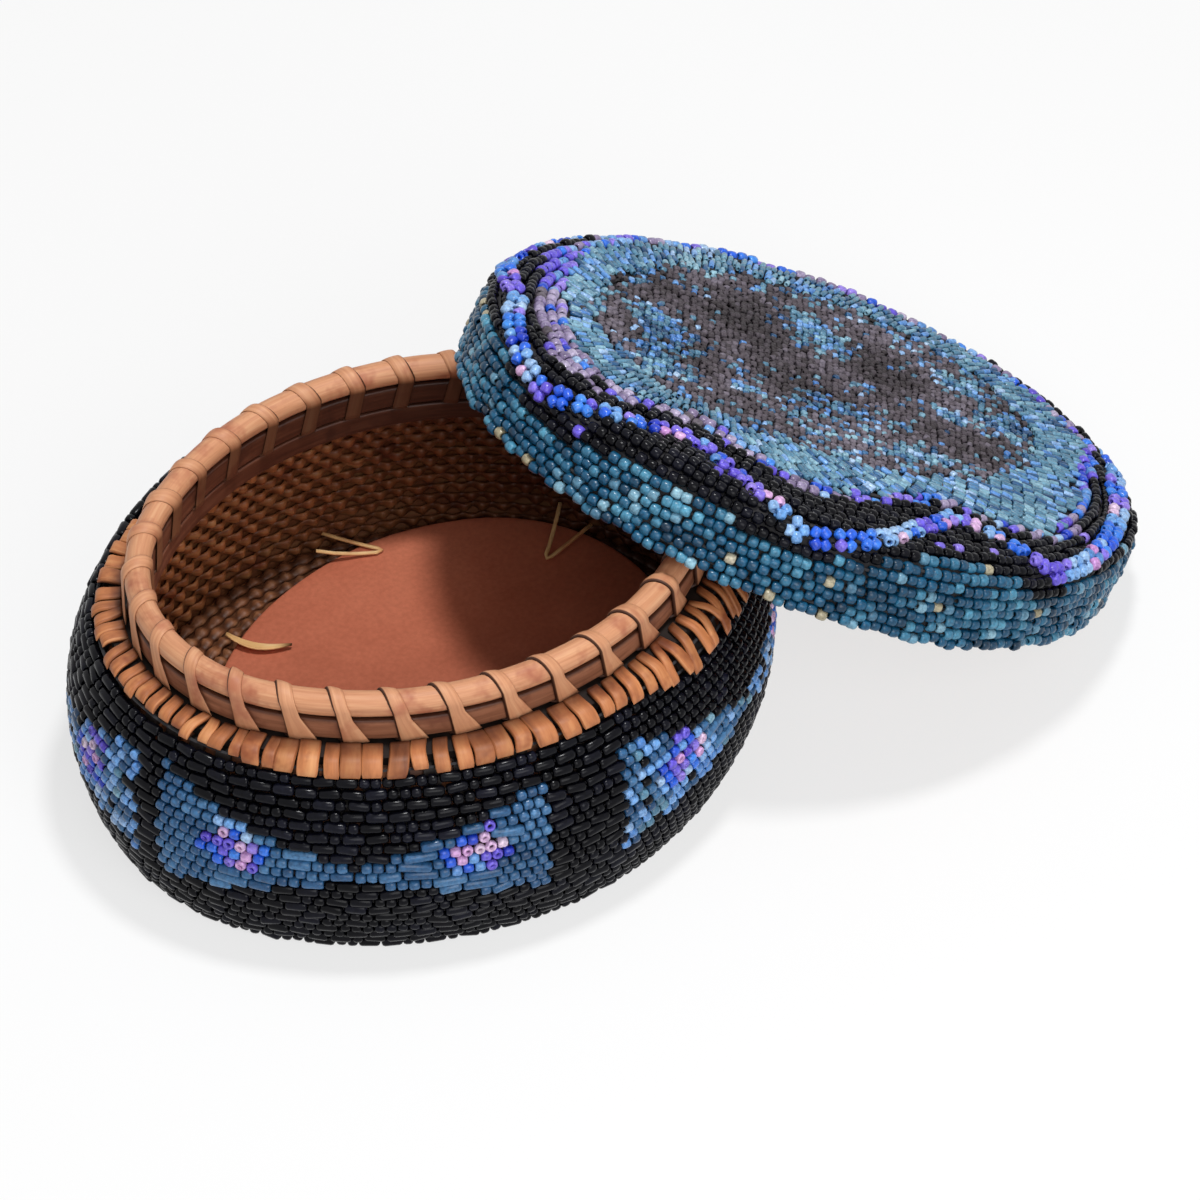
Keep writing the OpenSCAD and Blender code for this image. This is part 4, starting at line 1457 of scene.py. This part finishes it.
def medallion_beads(beads, lottery):
    """Fine beads that fill the middle of the top."""
    rows = int(FINE_REACH / FINE_PITCH)
    for j in range(-rows, rows + 1):
        for i in range(-rows, rows + 1):
            u = (i + 0.5 * (j % 2)) * FINE_PITCH + lottery.normal(0, 0.2 * MM)
            v = j * FINE_PITCH * FINE_ROW + lottery.normal(0, 0.16 * MM)
            angle, path = lid_where(u, v)
            fuzzy = path + lottery.normal(0, MIDDLE_FUZZ)
            if path < FLAT_FROM or lid_zone(angle, fuzzy) != "middle":
                continue
            colour = medallion_colour(u, v, fuzzy - lid_lines(angle)[4], lottery)
            turn = lottery.normal(0, 0.6)
            size = FINE_BEAD * lottery.uniform(0.85, 1.05)
            sunk = lottery.uniform(0, 0.35) * MM
            tone = min(1, max(0, 0.5 + 0.5 * mottle(u, v, 7 * MM, 2.0) + lottery.normal(0, 0.22)))
            top_bead(beads, colour, u, v, turn, FINE_PITCH * STRING_FILL, size, sunk, tone)


def lid_sweep(angle, d, w):
    """Grid on the lid of an outline's offsets and heights at normal angles."""
    x, y = oval_point(angle[:, None], d[None, :])
    return to_lid(np.stack([x, y, np.broadcast_to(w[None, :], x.shape)], -1))


def lid_threads():
    """Threads through the rows, and a dark ground under all the beads."""
    threads = Strands()
    for path in lid_rows():
        d, w, _ = lid_section(path)
        ring = normal_angle(around(THREAD_STEPS), d)
        grid = lid_sweep(ring, d + THREAD_OUTLINE[:, 0], w + THREAD_OUTLINE[:, 1])
        threads.tube(grid, 1.0, THREAD_GIRTH, 0.5, True)
    ring = normal_angle(around(THREAD_STEPS), 0.0)
    sections = np.array([lid_section(path) for path in np.linspace(LID_ROW0 - 0.9 * MM, FLAT_FROM, 14)])
    middle = sections[:, :2]
    aim = np.stack([np.cos(sections[:, 2]), np.sin(sections[:, 2])], 1)
    upper, lower = GROUND_DEPTH
    wall = np.concatenate([middle - upper * BEAD * aim, (middle - lower * BEAD * aim)[::-1]])
    threads.tube(lid_sweep(ring, wall[:, 0], wall[:, 1]), 1.0, SKIN_GIRTH, 0.5, True)
    x, y = oval_point(ring, PATH_D)
    scale = np.array([0.001, 0.5, 1.0, 1.0, 0.5, 0.001])
    level = PATH_W + PATH_R - BEAD * np.repeat(GROUND_DEPTH, 3)
    flat = np.stack([x, y], 1)[:, None, :] * scale[None, :, None]
    ground = np.concatenate([flat, np.broadcast_to(level[None, :, None], flat[..., :1].shape)], -1)
    threads.tube(to_lid(ground), 1.0, SKIN_GIRTH, 0.5, True)
    threads.piece("lid_bead_threads", thread_material(), "beads_black", "lid")


def make_lid_beads():
    beads = Beads("lid")
    tones = Tones(8)
    lottery = np.random.default_rng(33)
    chain = chain_of_clusters(beads, tones, lottery)
    pulled = scallops()
    strung_rows(beads, chain, pulled, tones, lottery)
    pale_strings(beads, tones, lottery)
    medallion_beads(beads, lottery)
    edge_beads(beads, pulled, tones)
    made = beads.pieces("lid_beads")
    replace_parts(made["petrol"], "lid_skirt_beads")
    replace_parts(made["black"], "lid_zigzag_beads")
    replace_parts(made["aqua"], "lid_top_beads")
    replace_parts(made["taupe_fine"], "lid_medallion_beads")
    lid_threads()


# Finishes of the solids that stay

def dress(node, material):
    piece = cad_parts[node]
    piece.data.materials.clear()
    piece.data.materials.append(material)


# Stage, light and camera
LIGHT_AIM = (0.03, 0, 0.03)
# Size of the floor and how far it lies under the table's level
FLOOR_SIZE = 12
FLOOR_DROP = 0.2 * MM
# Share of plain white in the floor as seen, which lightens the shadow
FLOOR_WHITE = 0.7
ROOM_STRENGTH = 0.28


def seen_rays(tree):
    """One for what the camera sees, straight or in a reflection, and nought for the light on the object."""
    path = add(tree, "ShaderNodeLightPath")
    seen = path.outputs["Is Camera Ray"]
    for kind in ("Is Glossy Ray", "Is Transmission Ray"):
        either = add(tree, "ShaderNodeMath", operation="MAXIMUM")
        tree.links.new(seen, either.inputs[0])
        tree.links.new(path.outputs[kind], either.inputs[1])
        seen = either.outputs[0]
    return seen


def blended(tree, share, first, second, output):
    node = add(tree, "ShaderNodeMixShader")
    for source, target in zip((share, first, second), node.inputs):
        tree.links.new(source, target)
    tree.links.new(node.outputs["Shader"], tree.nodes[output].inputs["Surface"])


def make_stage():
    """White floor that keeps a light shadow of the object."""
    material, tree, shader = node_tree("stage_floor")
    shader.inputs["Base Color"].default_value = (0.88, 0.88, 0.88, 1)
    shader.inputs["Roughness"].default_value = 0.9
    shader.inputs["Specular IOR Level"].default_value = 0.0
    white = add(tree, "ShaderNodeEmission", Strength=1.0)
    part = add(tree, "ShaderNodeMath", operation="MULTIPLY")
    part.inputs[1].default_value = FLOOR_WHITE
    tree.links.new(seen_rays(tree), part.inputs[0])
    blended(tree, part.outputs[0], shader.outputs["BSDF"], white.outputs["Emission"], "Material Output")
    bpy.ops.mesh.primitive_plane_add(size=FLOOR_SIZE, location=(0, 0, -FLOOR_DROP))
    floor = bpy.context.object
    floor.name = "stage_floor"
    floor.data.materials.append(material)


def area_light(name, place, size, power):
    data = bpy.data.lights.new(name, "AREA")
    data.shape = "DISK"
    data.size = size
    data.energy = power
    lamp = bpy.data.objects.new(name, data)
    lamp.location = place
    lamp.rotation_euler = (Vector(LIGHT_AIM) - Vector(place)).to_track_quat("-Z", "Y").to_euler()
    bpy.context.scene.collection.objects.link(lamp)


def make_light():
    """A lamp overhead, so that the lid shades the floor under it, a broad one in front and a pale room."""
    world = bpy.data.worlds.new("studio")
    bpy.context.scene.world = world
    world.use_nodes = True
    tree = world.node_tree
    room = tree.nodes["Background"]
    room.inputs["Color"].default_value = (1, 1, 1, 1)
    room.inputs["Strength"].default_value = ROOM_STRENGTH
    white = add(tree, "ShaderNodeBackground", Color=(1, 1, 1, 1), Strength=1.0)
    blended(tree, seen_rays(tree), *(side.outputs["Background"] for side in (room, white)), "World Output")
    area_light("top_light", (0.10, -0.06, 1.0), 0.14, 6.0)
    area_light("front_light", (-0.1, -0.9, 0.65), 0.8, 5.8)


def make_camera():
    back = Vector((
        math.sin(VIEW_AZIMUTH) * math.cos(VIEW_ELEVATION),
        -math.cos(VIEW_AZIMUTH) * math.cos(VIEW_ELEVATION),
        math.sin(VIEW_ELEVATION),
    ))
    right = Vector((math.cos(VIEW_AZIMUTH), math.sin(VIEW_AZIMUTH), 0))
    up = back.cross(right)
    data = bpy.data.cameras.new("photo_camera")
    data.lens = VIEW_LENS
    data.sensor_width = 36
    data.clip_start = 0.05
    camera = bpy.data.objects.new("photo_camera", data)
    aim = Vector((0, 0, SHOULDER_Z)) + right * AIM_RIGHT + up * AIM_UP
    turn = Matrix((right, up, back)).transposed().to_4x4()
    camera.matrix_world = Matrix.Translation(aim + back * VIEW_DISTANCE) @ turn
    bpy.context.scene.collection.objects.link(camera)
    bpy.context.scene.camera = camera


bpy.context.scene.view_settings.view_transform = "Standard"
make_camera()
make_rod()
make_lashings()
make_folds()
collar = (BAND, 0.35 * MM, 0.08 * MM)
hoop("collar_outer_cane", "collar_outer_band", CANE["band"], "rattan_tan", *collar, painted_groove_shade=0.6)
hoop("collar_inner_cane", "collar_inner_band", CANE["inner"], "rattan_dark", *collar, painted_groove_shade=0.3, inside=True)
neck = (BAND, 0.35 * MM, 0.05 * MM)
hoop("neck_hoop_cane", "neck_hoop", CANE["inner"], "rattan_dark", *neck, inside=True)
make_wall_weave()
make_floor_weave()
make_liner()
make_tips()
make_body_beads()
make_lid_weave()
make_lid_panel()
lid_hoop = (1.5 * MM, 0.4 * MM, 0.05 * MM)
hoop("lid_hoop_cane", "lid_inner_hoop", CANE["band"], "rattan_tan", *lid_hoop, to_lid)
make_lid_beads()
dress("base_board", board_material())
for node in ("base_hoop", "collar_stakes", "lid_edge_coil"):
    dress(node, CANE["plain"])
# Stakes, shoulder ring and skirt band in near-black cane: painted shade in the gaps between beads
for node in ("wall_stakes", "shoulder_ring", "lid_skirt_band"):
    dress(node, CANE["dark"])
make_stage()
make_light()
